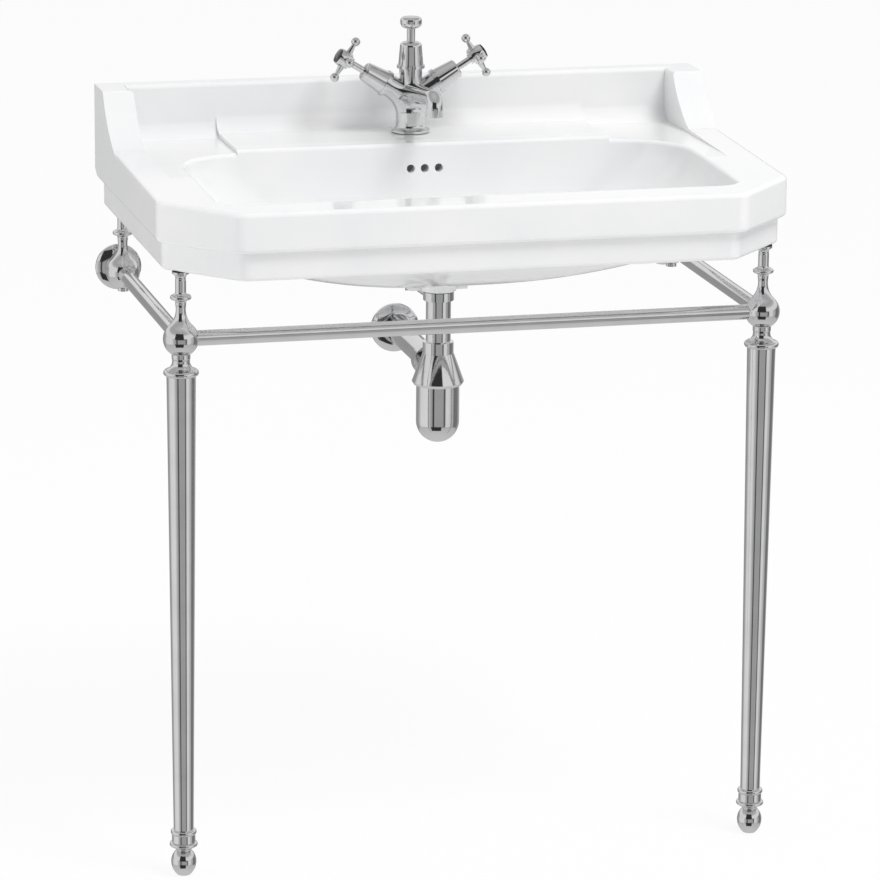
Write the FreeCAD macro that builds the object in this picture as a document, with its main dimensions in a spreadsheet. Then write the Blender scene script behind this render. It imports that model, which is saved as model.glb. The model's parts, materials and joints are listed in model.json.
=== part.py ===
import math
import os
import re

import FreeCAD
import Part
import Sketcher

# A console washstand: a glazed basin on a turned metal stand, with its tap, pop-up waste and bottle trap.
# Lengths are millimetres, angles degrees. Heights are above the floor, depths are measured from the wall.
# X runs to the right seen from the front, the wall is on the +Y side and Z points up.

DRIVING_SIZES = {
    # basin, outside
    "basin_width": 800,
    "basin_depth": 520,
    "upstand_height": 63,
    "rim_climb": 9,
    "front_face_height": 50,
    "lower_tier_height": 35,
    "basin_underside": 773,
    "apron_rise": 12,
    "apron_depth": 20,
    "corner_cut_width": 82,
    "corner_cut_depth": 89,
    "tier_inset": 8,
    "edge_round": 6,
    "corner_round": 22,
    "underside_round": 5,
    "bowl_lip_round": 5,
    # basin, upstand with its two side returns
    "upstand_thickness": 24,
    "return_width": 40,
    "return_top_depth": 61,
    "return_foot_depth": 137,
    "return_sweep": 160,
    "cove_radius": 22,
    # basin, top: tap ledge between two sunken trays
    "ledge_end": 85,
    "tray_drop": 6,
    "tray_front_gap": 39,
    # basin, bowl
    "side_rim": 70,
    "bowl_back_depth": 160,
    "front_rim": 51,
    "bowl_back_corner": 95,
    "bowl_front_corner": 30,
    "bowl_corner_swell": 160,
    "bowl_drop": 150,
    # basin, inside and underneath
    "ceramic_wall": 12,
    "ledge_thickness": 25,
    "cavity_back_wall": 32,
    "post_pad_size": 62,
    # basin, holes
    "drain_setback": 79,
    "drain_hole_radius": 17.5,
    "drain_seat_radius": 34,
    "drain_boss_radius": 22.5,
    "drain_boss_drop": 26,
    "flange_seat_drop": 3,
    "tap_axis_depth": 82,
    "tap_hole_radius": 17.5,
    "overflow_hole_radius": 5.3,
    "overflow_pitch": 18.5,
    "overflow_drop": 33,
    "duct_back_depth": 138,
    "duct_half": 26,
    "duct_gap": 12,
    "duct_drop": 20,
    "duct_mouth": 8,
    "wall_bolt_half_spacing": 140,
    "wall_bolt_radius": 7,
    "wall_bolt_drop": 35,
    # cuts and fits
    "overrun": 3,
    "fit_gap": 0.05,
    # stand, places
    "post_side_inset": 29,
    "post_front_inset": 90,
    "rear_post_depth": 36,
    "rail_drop": 85,
    # stand, posts
    "ball_radius": 22,
    "seat_pad_thickness": 1,
    "cup_radius": 10.5,
    "cup_rim": 2.5,
    "cup_flare": 8,
    "neck_radius": 6.7,
    "bead_rise": 52,
    "bead_width": 13,
    "bead_radius": 11.8,
    "bead_edge": 5,
    "shoulder_rise": 43,
    "shoulder_radius": 14,
    "lower_neck_radius": 11.5,
    "lower_neck_drop": 24,
    "finial_radius": 7,
    "finial_drop": 3,
    "wall_arm_radius": 9,
    "wall_thread_radius": 3.4,
    "wall_thread_depth": 20,
    # stand, rails and their grub screws
    "rail_radius": 9.5,
    "rail_wall": 1.5,
    "socket_floor": 11,
    "grub_radius": 2,
    "grub_offset": 16,
    "grub_length": 4,
    # stand, wall rosettes
    "rosette_radius": 30,
    "rosette_edge": 4,
    "rosette_height": 10,
    "rosette_hub_radius": 13,
    # stand, legs and feet
    "collar_flare_height": 14,
    "collar_height": 8,
    "leg_top_radius": 18,
    "leg_foot_radius": 12.5,
    "leg_bottom": 59,
    "leg_wall": 1.8,
    "leg_stud_radius": 4,
    "leg_stud_reach": 11,
    "ferrule_ring_height": 6,
    "ferrule_body_radius": 14.7,
    "ferrule_body_height": 10,
    "ferrule_foot_ring_height": 6,
    "ferrule_cove_height": 5,
    "ferrule_neck_radius": 9.8,
    "ferrule_spigot": 18,
    "foot_neck_radius": 9,
    "foot_swell_radius": 15.8,
    "foot_swell_height": 17.5,
    "foot_pad_radius": 8.2,
    "foot_stud_radius": 4,
    "foot_stud_length": 20,
    # tap, body
    "tap_seal_thickness": 1,
    "tap_seal_inset": 1,
    "tap_flange_radius": 25,
    "tap_flange_edge": 3,
    "tap_cove_height": 7,
    "tap_column_radius": 19,
    "tap_column_top": 27,
    "tap_swell_radius": 23.5,
    "tap_swell_rise": 46,
    "tap_hub_radius": 14.8,
    "tap_hub_bottom": 64,
    "tap_hub_top": 84,
    "valve_axis_rise": 44,
    "valve_rise_angle": 31.5,
    "branch_radius": 14.5,
    "branch_length": 38,
    "branch_bend_radius": 50,
    "branch_bend_offset": 4,
    # tap, spout
    "spout_rise": 51,
    "spout_climb_angle": 6.8,
    "spout_length": 117,
    "spout_bend_radius": 13,
    "spout_root_radius": 13.8,
    "spout_tip_radius": 10.6,
    "outlet_spigot_radius": 8.6,
    "outlet_spigot_length": 5,
    "outlet_ring_radius": 10.8,
    "outlet_ring_height": 9,
    "outlet_lip_radius": 6.8,
    "flow_insert_height": 3,
    "flow_hole_radius": 1.2,
    "flow_hole_ring": 4.4,
    # tap, water ways
    "inlet_radius": 4.5,
    "inlet_depth": 14,
    "inlet_half_spacing": 12,
    "water_way_radius": 3,
    "valve_bore_start": 15,
    "spout_way_radius": 5.5,
    "spout_way_start": 9,
    "cross_way_radius": 2.5,
    "cross_way_offset": 8.5,
    "cross_way_half": 16,
    # tap, valves and handles
    "headwork_radius": 8,
    "headwork_end": 60,
    "headwork_port_radius": 5,
    "headwork_port_depth": 12,
    "shroud_foot_radius": 15.6,
    "shroud_end_radius": 12.6,
    "shroud_ring_radius": 17.2,
    "shroud_ring_width": 5,
    "shroud_end": 73,
    "shroud_wall": 2.5,
    "shroud_lip_round": 3,
    "spindle_radius": 4.5,
    "spindle_start": 44,
    "spindle_clearance": 0.4,
    "running_gap": 0.05,
    "handle_distance": 102,
    "hub_half_length": 10,
    "hub_radius": 10.4,
    "hub_collar_radius": 7,
    "hub_collar_length": 4,
    "hub_socket_depth": 5,
    "arm_reach": 26.6,
    "arm_radius": 2.6,
    "arm_root_radius": 4.4,
    "arm_ball_radius": 5.8,
    "cap_radius": 9.4,
    "cap_edge": 2,
    "cap_dome": 1.8,
    # tap, centre bell and lift knob
    "bell_ring_radius": 18,
    "bell_ring_height": 4,
    "bell_foot_radius": 16.2,
    "bell_top_radius": 14.2,
    "bell_height": 34,
    "bell_crown": 6,
    "bell_cavity_radius": 11,
    "bell_roof": 5,
    "knob_gap": 0.4,
    "knob_neck_radius": 5.4,
    "knob_neck_length": 17,
    "knob_flare_height": 7,
    "knob_radius": 14,
    "knob_rim_height": 3,
    "knob_edge_round": 5,
    "knob_socket_depth": 10,
    "lift_rod_radius": 2.5,
    "lift_rod_clearance": 0.3,
    "lift_rod_below": 1,
    # tap, fixing under the ledge
    "fixing_stud_radius": 4,
    "fixing_stud_setback": 12.5,
    "fixing_stud_socket": 12,
    "fixing_stud_below": 30,
    "horseshoe_radius": 23,
    "horseshoe_thickness": 4,
    "horseshoe_slot_half": 16.5,
    "horseshoe_web": 3,
    "fixing_nut_radius": 8,
    "fixing_nut_height": 8,
    # pop-up waste, fixed pieces
    "flange_seal_thickness": 1,
    "flange_seal_inset": 1,
    "flange_radius": 31,
    "flange_thickness": 3,
    "flange_dish": 2,
    "flange_edge_round": 1.5,
    "spigot_wall": 1.8,
    "spigot_length": 31,
    "waste_tube_radius": 16,
    "waste_tube_wall": 2.5,
    "waste_tube_insert": 17,
    "waste_tube_drop": 87,
    "overflow_slot_half": 7,
    "body_seal_thickness": 1.5,
    "back_nut_radius": 19.75,
    "back_nut_height": 11,
    # pop-up waste, plug
    "plug_seat_gap": 0.3,
    "plug_margin": 2,
    "plug_radius": 20,
    "plug_edge": 3,
    "plug_crown": 2.5,
    "plug_stem_radius": 6,
    "plug_stem_below": 6,
    "plug_fin_thickness": 2,
    "plug_fin_height": 12,
    "plug_fin_drop": 8,
    "plug_fin_clearance": 0.6,
    "plug_seal_height": 2,
    "plug_seal_radius": 17,
    # pop-up waste, lever and strap
    "knob_travel": 24,
    "pivot_drop": 20,
    "pivot_offset": 26,
    "pivot_ball_radius": 5,
    "lever_radius": 2,
    "lever_tail": 4,
    "lever_overhang": 8,
    "lever_hole_radius": 3.2,
    "port_radius": 6.8,
    "port_reach": 33,
    "port_socket_back": 6,
    "port_way_radius": 4.2,
    "pivot_nut_radius": 8.5,
    "lever_rest_tilt": 2.75,
    "pivot_nut_lip": 2,
    "pivot_nut_length": 10,
    "pivot_nut_hole": 3.6,
    "strap_half_width": 7,
    "strap_thickness": 2,
    "strap_offset": 6,
    "strap_below": 7,
    "clamp_rise": 21,
    "clamp_height": 14,
    "clamp_back": 6,
    "clamp_screw_radius": 2,
    "clamp_screw_head_radius": 4.5,
    "clamp_screw_head_height": 4,
    # bottle trap
    "trap_grip": 13,
    "trap_neck_wall": 1.5,
    "trap_seal_height": 4,
    "trap_nut_lip": 3,
    "trap_nut_radius": 19.8,
    "trap_nut_height": 15,
    "cone_top_radius": 20,
    "cone_radius": 33.4,
    "cone_height": 41,
    "cone_edge": 4,
    "cone_wall": 3,
    "cone_ledge": 3,
    "bottle_socket": 12,
    "bottle_radius": 27.7,
    "bottle_wall": 1.8,
    "bottle_drop": 112,
    "dip_tube_radius": 12.5,
    "dip_tube_wall": 1.5,
    "dip_tube_drop": 78,
    "dip_lip": 3,
    "outlet_drop": 15,
    "outlet_way_radius": 7.5,
    "outlet_pipe_radius": 16,
    "outlet_pipe_wall": 1.5,
    "outlet_stub_radius": 18,
    "outlet_stub_reach": 50,
    "outlet_pipe_insert": 8,
    "union_nut_radius": 22.5,
    "union_nut_lip": 4,
    "union_nut_length": 18,
    "outlet_rosette_radius": 32.5,
    "outlet_rosette_edge": 4,
    "outlet_rosette_hub_radius": 19,
    "outlet_rosette_height": 12,
}

# Sizes worked out from the driving ones, so that pieces keep together when one of those changes.
WORKED_OUT_SIZES = {
    "tier_edge": "basin_underside + lower_tier_height",
    "rim_front_top": "tier_edge + front_face_height",
    "rim_back_top": "rim_front_top + rim_climb",
    "upstand_top": "rim_back_top + upstand_height",
    "cavity_top": "rim_back_top - ledge_thickness",
    "ledge_half_width": "bowl_half_length - ledge_end",
    "tray_front_depth": "bowl_front_depth - tray_front_gap",
    "bowl_half_length": "basin_width / 2 - side_rim",
    "bowl_front_depth": "basin_depth - front_rim",
    "bowl_floor": "rim_back_top - bowl_drop",
    "drain_depth": "bowl_back_depth + drain_setback",
    "drain_boss_bottom": "bowl_floor - drain_boss_drop",
    "overflow_height": "rim_back_top - overflow_drop",
    "duct_floor": "bowl_floor - duct_drop",
    "wall_bolt_height": "rim_back_top - wall_bolt_drop",
    "post_half_spacing": "basin_width / 2 - post_side_inset",
    "front_post_depth": "basin_depth - post_front_inset",
    "rail_height": "basin_underside - rail_drop",
    "lift_rod_bottom": "drain_boss_bottom - lift_rod_below",
    "fixing_stud_bottom": "cavity_top - fixing_stud_below",
    "waste_tube_top": "drain_boss_bottom + waste_tube_insert",
    "waste_tube_bottom": "drain_boss_bottom - waste_tube_drop",
    "pivot_height": "drain_boss_bottom - pivot_drop",
    "clamp_top": "drain_boss_bottom + clamp_rise",
    "dip_tube_bottom": "waste_tube_bottom - dip_tube_drop",
    "bottle_bottom": "waste_tube_bottom - bottle_drop",
    "outlet_height": "waste_tube_bottom - outlet_drop",
}

# The bowl's wall follows part of an ellipse, from upright at the mouth to a gentle fall at the drain.
BOWL_LEVELS = 6
BOWL_SWEEP = 70
CORNER_FULLNESS_SHARE = 0.92

# Word functions of the expression language, which are not names of sizes.
EXPRESSION_FUNCTIONS = {"sqrt", "sin", "cos", "tan"}

QUARTER_TURN = 90
FULL_TURN = 360
X_AXIS = FreeCAD.Vector(1, 0, 0)
Y_AXIS = FreeCAD.Vector(0, 1, 0)
TOWARDS_FRONT = (X_AXIS, QUARTER_TURN)
TOWARDS_WALL = (X_AXIS, -QUARTER_TURN)
TOWARDS_RIGHT = (Y_AXIS, QUARTER_TURN)
BEND_DOWN = (FreeCAD.Vector(1, -1, -1), FULL_TURN / 3)
BEND_OUT = {-1: TOWARDS_FRONT, 1: (FreeCAD.Vector(0, 1, 1), FULL_TURN / 2)}
SIDES = {"left": -1, "right": 1}
VALVES = {"hot": -1, "cold": 1}

document = FreeCAD.newDocument("washstand")
sheet = document.addObject("Spreadsheet::Sheet", "sizes")
nodes = []


def fill_sheet():
    """Writes each driving size into its own cell with its name as alias."""
    for row, (name, number) in enumerate(DRIVING_SIZES.items(), start=1):
        sheet.set(f"A{row}", name)
        sheet.set(f"B{row}", str(number))
        sheet.setAlias(f"B{row}", name)
    document.recompute()


def bound(text):
    """Turns size names in a formula into sheet references, and worked-out sizes into their formulas."""
    def refer(match):
        word = match.group(0)
        if word in EXPRESSION_FUNCTIONS:
            return word
        if word in WORKED_OUT_SIZES:
            return f"({bound(WORKED_OUT_SIZES[word])})"
        return f"sizes.{word}"
    return re.sub(r"[a-z_]+", refer, str(text))


def value(text):
    """The number that a formula of sizes gives now."""
    return float(sheet.evalExpression(bound(text)))


def tie(thing, slot, text):
    """Binds one property of an object to a formula of sizes."""
    thing.setExpression(slot, bound(text))


def depth(text):
    """The Y place of something that lies this deep in front of the wall."""
    return f"(basin_depth / 2 - ({text}))"


def place(thing, x="0", y="0", z="0", turn=None):
    """Turns an object about one axis and ties its place and angle to formulas of sizes."""
    if turn:
        axis, angle = turn
        thing.Placement = FreeCAD.Placement(FreeCAD.Vector(), FreeCAD.Rotation(axis, value(angle)))
        tie(thing, "Placement.Rotation.Angle", angle)
    for letter, text in zip("xyz", (x, y, z)):
        tie(thing, f"Placement.Base.{letter}", text)
    return thing


def node(label, thing):
    """Keeps an object as one named sub-part."""
    thing.Label = label
    nodes.append(thing)
    return thing


def arc_between(start, end, radius):
    """A minor arc; a positive radius bulges to the left of the way from start to end."""
    chord = end - start
    half = chord.Length / 2
    left = FreeCAD.Vector(-chord.y, chord.x, 0).normalize()
    drop = (radius * radius - half * half) ** 0.5
    centre = (start + end) / 2 - left * (drop if radius > 0 else -drop)
    first, last = (end, start) if radius > 0 else (start, end)
    circle = Part.Circle(centre, FreeCAD.Vector(0, 0, 1), abs(radius))
    return Part.ArcOfCircle(circle, circle.parameter(first), circle.parameter(last))


def draw_circle(sketch, x, y, radius):
    """Draws a circle tied to its middle and radius."""
    middle = FreeCAD.Vector(value(x), value(y), 0)
    here = sketch.addGeometry(Part.Circle(middle, FreeCAD.Vector(0, 0, 1), value(radius)))
    for rule, text in ((("DistanceX", here, 3), x), (("DistanceY", here, 3), y), (("Radius", here), radius)):
        number = sketch.addConstraint(Sketcher.Constraint(*rule, value(text)))
        tie(sketch, f"Constraints[{number}]", text)


def arc_radius(corner, following):
    """The radius of the arc that leaves a corner: a formula, or its rise as a share of its chord."""
    bulge = corner[2]
    if isinstance(bulge, str):
        return bulge
    run = f"({following[0]} - ({corner[0]}))"
    climb = f"({following[1]} - ({corner[1]}))"
    share = abs(bulge)
    radius = f"sqrt({run} ^ 2 + {climb} ^ 2) * {1 / (8 * share) + share / 2}"
    return f"-({radius})" if bulge < 0 else radius


def draw(sketch, corners):
    """Draws a closed outline. A corner is (x, y), with a third item where an arc leads to the next corner."""
    count = len(corners)
    if count == 1:
        draw_circle(sketch, *corners[0])
        return
    spots = [FreeCAD.Vector(value(corner[0]), value(corner[1]), 0) for corner in corners]
    first = sketch.GeometryCount
    ends = []
    for index, corner in enumerate(corners):
        start = spots[index]
        end = spots[(index + 1) % count]
        if len(corner) == 2:
            edge = Part.LineSegment(start, end)
        else:
            edge = arc_between(start, end, value(arc_radius(corner, corners[(index + 1) % count])))
        sketch.addGeometry(edge)
        drawn = sketch.Geometry[first + index]
        forward = drawn.StartPoint.distanceToPoint(start) < drawn.StartPoint.distanceToPoint(end)
        ends.append((1, 2) if forward else (2, 1))
    for index, corner in enumerate(corners):
        following = (index + 1) % count
        here = first + index
        sketch.addConstraint(
            Sketcher.Constraint("Coincident", here, ends[index][1], first + following, ends[following][0])
        )
        for kind, text in zip(("DistanceX", "DistanceY"), corner):
            number = sketch.addConstraint(Sketcher.Constraint(kind, here, ends[index][0], value(text)))
            tie(sketch, f"Constraints[{number}]", text)
        if len(corner) > 2:
            size = arc_radius(corner, corners[following]).lstrip("-")
            number = sketch.addConstraint(Sketcher.Constraint("Radius", here, value(size)))
            tie(sketch, f"Constraints[{number}]", size)


def circle_outline(radius, x, y):
    """A round outline, which has its middle as its only corner."""
    return [(x, y, radius)]


def box_outline(left, front, right, back, grow):
    """A rectangle grown outwards on every side but its front."""
    return [
        (f"{left} - {grow}", front),
        (f"{right} + {grow}", front),
        (f"{right} + {grow}", f"{back} + {grow}"),
        (f"{left} - {grow}", f"{back} + {grow}"),
    ]


def sketch_in(body, name, plane, outlines, offset="0"):
    """A sketch of closed outlines on one of the body's own planes, moved along the plane's normal."""
    sketch = body.newObject("Sketcher::SketchObject", name)
    support = next(item for item in body.Origin.OriginFeatures if item.Role == plane)
    sketch.AttachmentSupport = (support, [""])
    sketch.MapMode = "FlatFace"
    tie(sketch, "AttachmentOffset.Base.z", offset)
    for corners in outlines:
        draw(sketch, corners)
    return sketch


def feature(body, kind, name, sketch):
    """Adds a sketch-based feature to a body."""
    made = body.newObject(f"PartDesign::{kind}", name)
    made.Profile = sketch
    return made


def extrude(body, kind, name, sketch, length, symmetric=False, reverse=False):
    """Pads or pockets a sketch over a length."""
    made = feature(body, kind, name, sketch)
    made.SideType = "Symmetric" if symmetric else "One side"
    made.Reversed = reverse
    tie(made, "Length", length)
    return made


def revolve(body, kind, name, sketch, axis="V_Axis"):
    """Turns a sketch once round one of its own axes."""
    made = feature(body, kind, name, sketch)
    made.ReferenceAxis = (sketch, [axis])
    made.Angle = FULL_TURN
    return made


def turned(name, profile):
    """A body turned round its own Z axis from a (radius, height) outline."""
    body = document.addObject("PartDesign::Body", name)
    sketch = sketch_in(body, f"{name}_profile", "XZ_Plane", [profile])
    revolve(body, "Revolution", f"{name}_solid", sketch)
    return body


def tube(name, outer, inner, low, high):
    """A plain ring or tube round its own Z axis."""
    return turned(name, [(inner, low), (outer, low), (outer, high), (inner, high)])


def rod(name, radius, length, **where):
    """A cylinder from its place along its own Z axis."""
    made = document.addObject("Part::Cylinder", name)
    tie(made, "Radius", radius)
    tie(made, "Height", length)
    return place(made, **where)


def block(name, length, width, height, **where):
    """A box from its lowest corner."""
    made = document.addObject("Part::Box", name)
    for slot, text in (("Length", length), ("Width", width), ("Height", height)):
        tie(made, slot, text)
    return place(made, **where)


def cut(name, blank, *tools):
    """Takes each tool away from a blank."""
    result = blank
    for number, tool in enumerate(tools):
        step = document.addObject("Part::Cut", f"{name}_cut_{number}")
        step.Base = result
        step.Tool = tool
        result = step
    return result


def joined(name, *pieces):
    """One solid made of pieces that run into each other."""
    made = document.addObject("Part::MultiFuse", name)
    made.Shapes = list(pieces)
    return made


def group(label, pieces):
    """Like fasteners kept together as one sub-part of separate solids."""
    made = document.addObject("Part::Compound", label)
    made.Links = pieces
    return node(label, made)


def sided(side, text):
    """A formula mirrored to the left or right of the middle plane."""
    return f"{side} * ({text})"


def bowl_outline(reach_share, grow):
    """One level outline of the bowl, between its mouth and the drain, grown outwards by a wall."""
    def between(drain_size, mouth_size):
        return f"({drain_size} + ({mouth_size} - {drain_size}) * {reach_share} + {grow})"
    half = between("drain_seat_radius", "bowl_half_length")
    front = depth(f"drain_depth + {between('drain_seat_radius', '(bowl_front_depth - drain_depth)')}")
    back = depth(f"drain_depth - {between('drain_seat_radius', '(drain_depth - bowl_back_depth)')}")
    swell = f"bowl_corner_swell * {reach_share * (1 - reach_share)}"
    back_corner = f"({between('drain_seat_radius', 'bowl_back_corner')} * {CORNER_FULLNESS_SHARE})"
    front_radius = f"({between('drain_seat_radius', 'bowl_front_corner')} + {swell})"
    front_corner = f"({front_radius} * {CORNER_FULLNESS_SHARE})"
    return [
        (f"-{half} + {front_corner}", front),
        (f"{half} - {front_corner}", front, f"-{front_corner}"),
        (half, f"{front} + {front_corner}"),
        (half, f"{back} - {back_corner}", f"-{back_corner}"),
        (f"{half} - {back_corner}", back),
        (f"-{half} + {back_corner}", back, f"-{back_corner}"),
        (f"-{half}", f"{back} - {back_corner}"),
        (f"-{half}", f"{front} + {front_corner}", f"-{front_corner}"),
    ]


def bowl_loft(body, kind, name, grow, mouth, floor):
    """A loft through the bowl's outlines, from its mouth to the drain."""
    sketches = []
    sweep = math.radians(BOWL_SWEEP)
    for number in range(BOWL_LEVELS):
        angle = sweep * number / (BOWL_LEVELS - 1)
        reach_share = round((math.cos(angle) - math.cos(sweep)) / (1 - math.cos(sweep)), 4)
        drop_share = round(math.sin(angle) / math.sin(sweep), 4)
        height = f"{mouth} - ({mouth} - ({floor})) * {drop_share}"
        outline = bowl_outline(reach_share, grow)
        sketches.append(sketch_in(body, f"{name}_level_{number}", "XY_Plane", [outline], height))
    made = feature(body, kind, name, sketches[0])
    made.Sections = sketches[1:]
    return made


def tier_outline(inset, back, pad="0", back_pad="0"):
    """The basin's plan with cut corners, set in from the sides and front."""
    half = f"(basin_width / 2 - {inset})"
    front = depth(f"basin_depth - {inset}")
    rear = depth(back)
    cut_width = f"(corner_cut_width + {pad})"
    cut_depth = f"(corner_cut_depth + {pad})"
    outline = [
        (f"-{half} + {cut_width}", front),
        (f"{half} - {cut_width}", front),
        (half, f"{front} + {cut_depth}"),
        (half, f"{rear} - {back_pad}"),
        (f"{half} - {back_pad}", rear),
        (f"-{half} + {back_pad}", rear),
        (f"-{half}", f"{rear} - {back_pad}"),
        (f"-{half}", f"{front} + {cut_depth}"),
    ]
    if back_pad == "0":
        del outline[4]
        del outline[5]
    return outline


def upstand_clearing(drop, front):
    """Side view of what is open in front of the upstand, down to the ledge or a tray below it."""
    floor = f"(rim_back_top - {drop})"
    return [
        (depth("upstand_thickness"), "upstand_top + overrun"),
        (depth("upstand_thickness"), f"{floor} + cove_radius", "cove_radius"),
        (depth("upstand_thickness + cove_radius"), floor),
        (depth(front), "rim_back_top" if drop == "0" else "rim_front_top + edge_round"),
        (depth(front), "upstand_top + overrun"),
    ]


def rounded(body, name, radius, wanted):
    """Rounds those edges of a body whose bounding boxes pass a test."""
    document.recompute()
    base = body.Tip
    numbered = enumerate(base.Shape.Edges, start=1)
    edges = [f"Edge{number}" for number, edge in numbered if wanted(edge.BoundBox)]
    made = body.newObject("PartDesign::Fillet", name)
    made.Base = (base, edges)
    tie(made, "Radius", radius)


def runs_level(box, low, high):
    """Whether a long edge lies between two levels."""
    is_long = box.XLength + box.YLength > value("corner_cut_width / 2")
    return is_long and box.ZMin > value(f"{low} - fit_gap") and box.ZMax < value(f"{high} + fit_gap")


def is_tier_corner(box):
    """Whether an edge is upright and lies at a cut corner of a tier."""
    upright = max(box.XLength, box.YLength) < value("fit_gap") and box.ZLength > value("corner_round")
    beside_front = abs(box.XMin) > value("basin_width / 2 - corner_cut_width - 2 * tier_inset")
    return upright and beside_front and box.YMax < value(depth("basin_depth / 2"))


def is_tier_edge(box, inset):
    """Whether an edge runs along a side, the front or a cut corner of a tier that is set in this far."""
    aside = abs(box.XMin + box.XMax) / 2
    at_side = aside > value(f"basin_width / 2 - {inset} - fit_gap")
    at_front = box.YMax < value(depth(f"basin_depth - {inset} - fit_gap"))
    beside_corner = aside > value(f"basin_width / 2 - {inset} - (corner_cut_width + tier_inset) / 2")
    before_side = box.YMax < value(depth(f"basin_depth - {inset} - corner_cut_depth"))
    return at_side or at_front or (beside_corner and before_side)


def is_rim(box):
    """Whether an edge is the upper tier's outer rim or the step at its foot."""
    return runs_level(box, "tier_edge", "rim_back_top") and is_tier_edge(box, "0")


def is_underside_edge(box):
    """Whether an edge runs round the foot of the lower tier."""
    return runs_level(box, "basin_underside", "basin_underside") and is_tier_edge(box, "tier_inset")


def is_upstand_edge(box):
    """Whether an edge is on top of the upstand or its returns, away from the wall."""
    return box.ZMin > value("upstand_top - fit_gap") and box.YMax < value(depth("fit_gap"))


def is_bowl_lip(box):
    """Whether an edge is a long piece of the bowl's lip."""
    within_length = max(abs(box.XMin), abs(box.XMax)) < value("bowl_half_length")
    behind_front = box.YMin > value(depth("bowl_front_depth"))
    before_back = box.YMax < value(depth("bowl_back_depth - fit_gap"))
    level = runs_level(box, "rim_front_top", "rim_back_top")
    return level and within_length and behind_front and before_back


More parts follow.
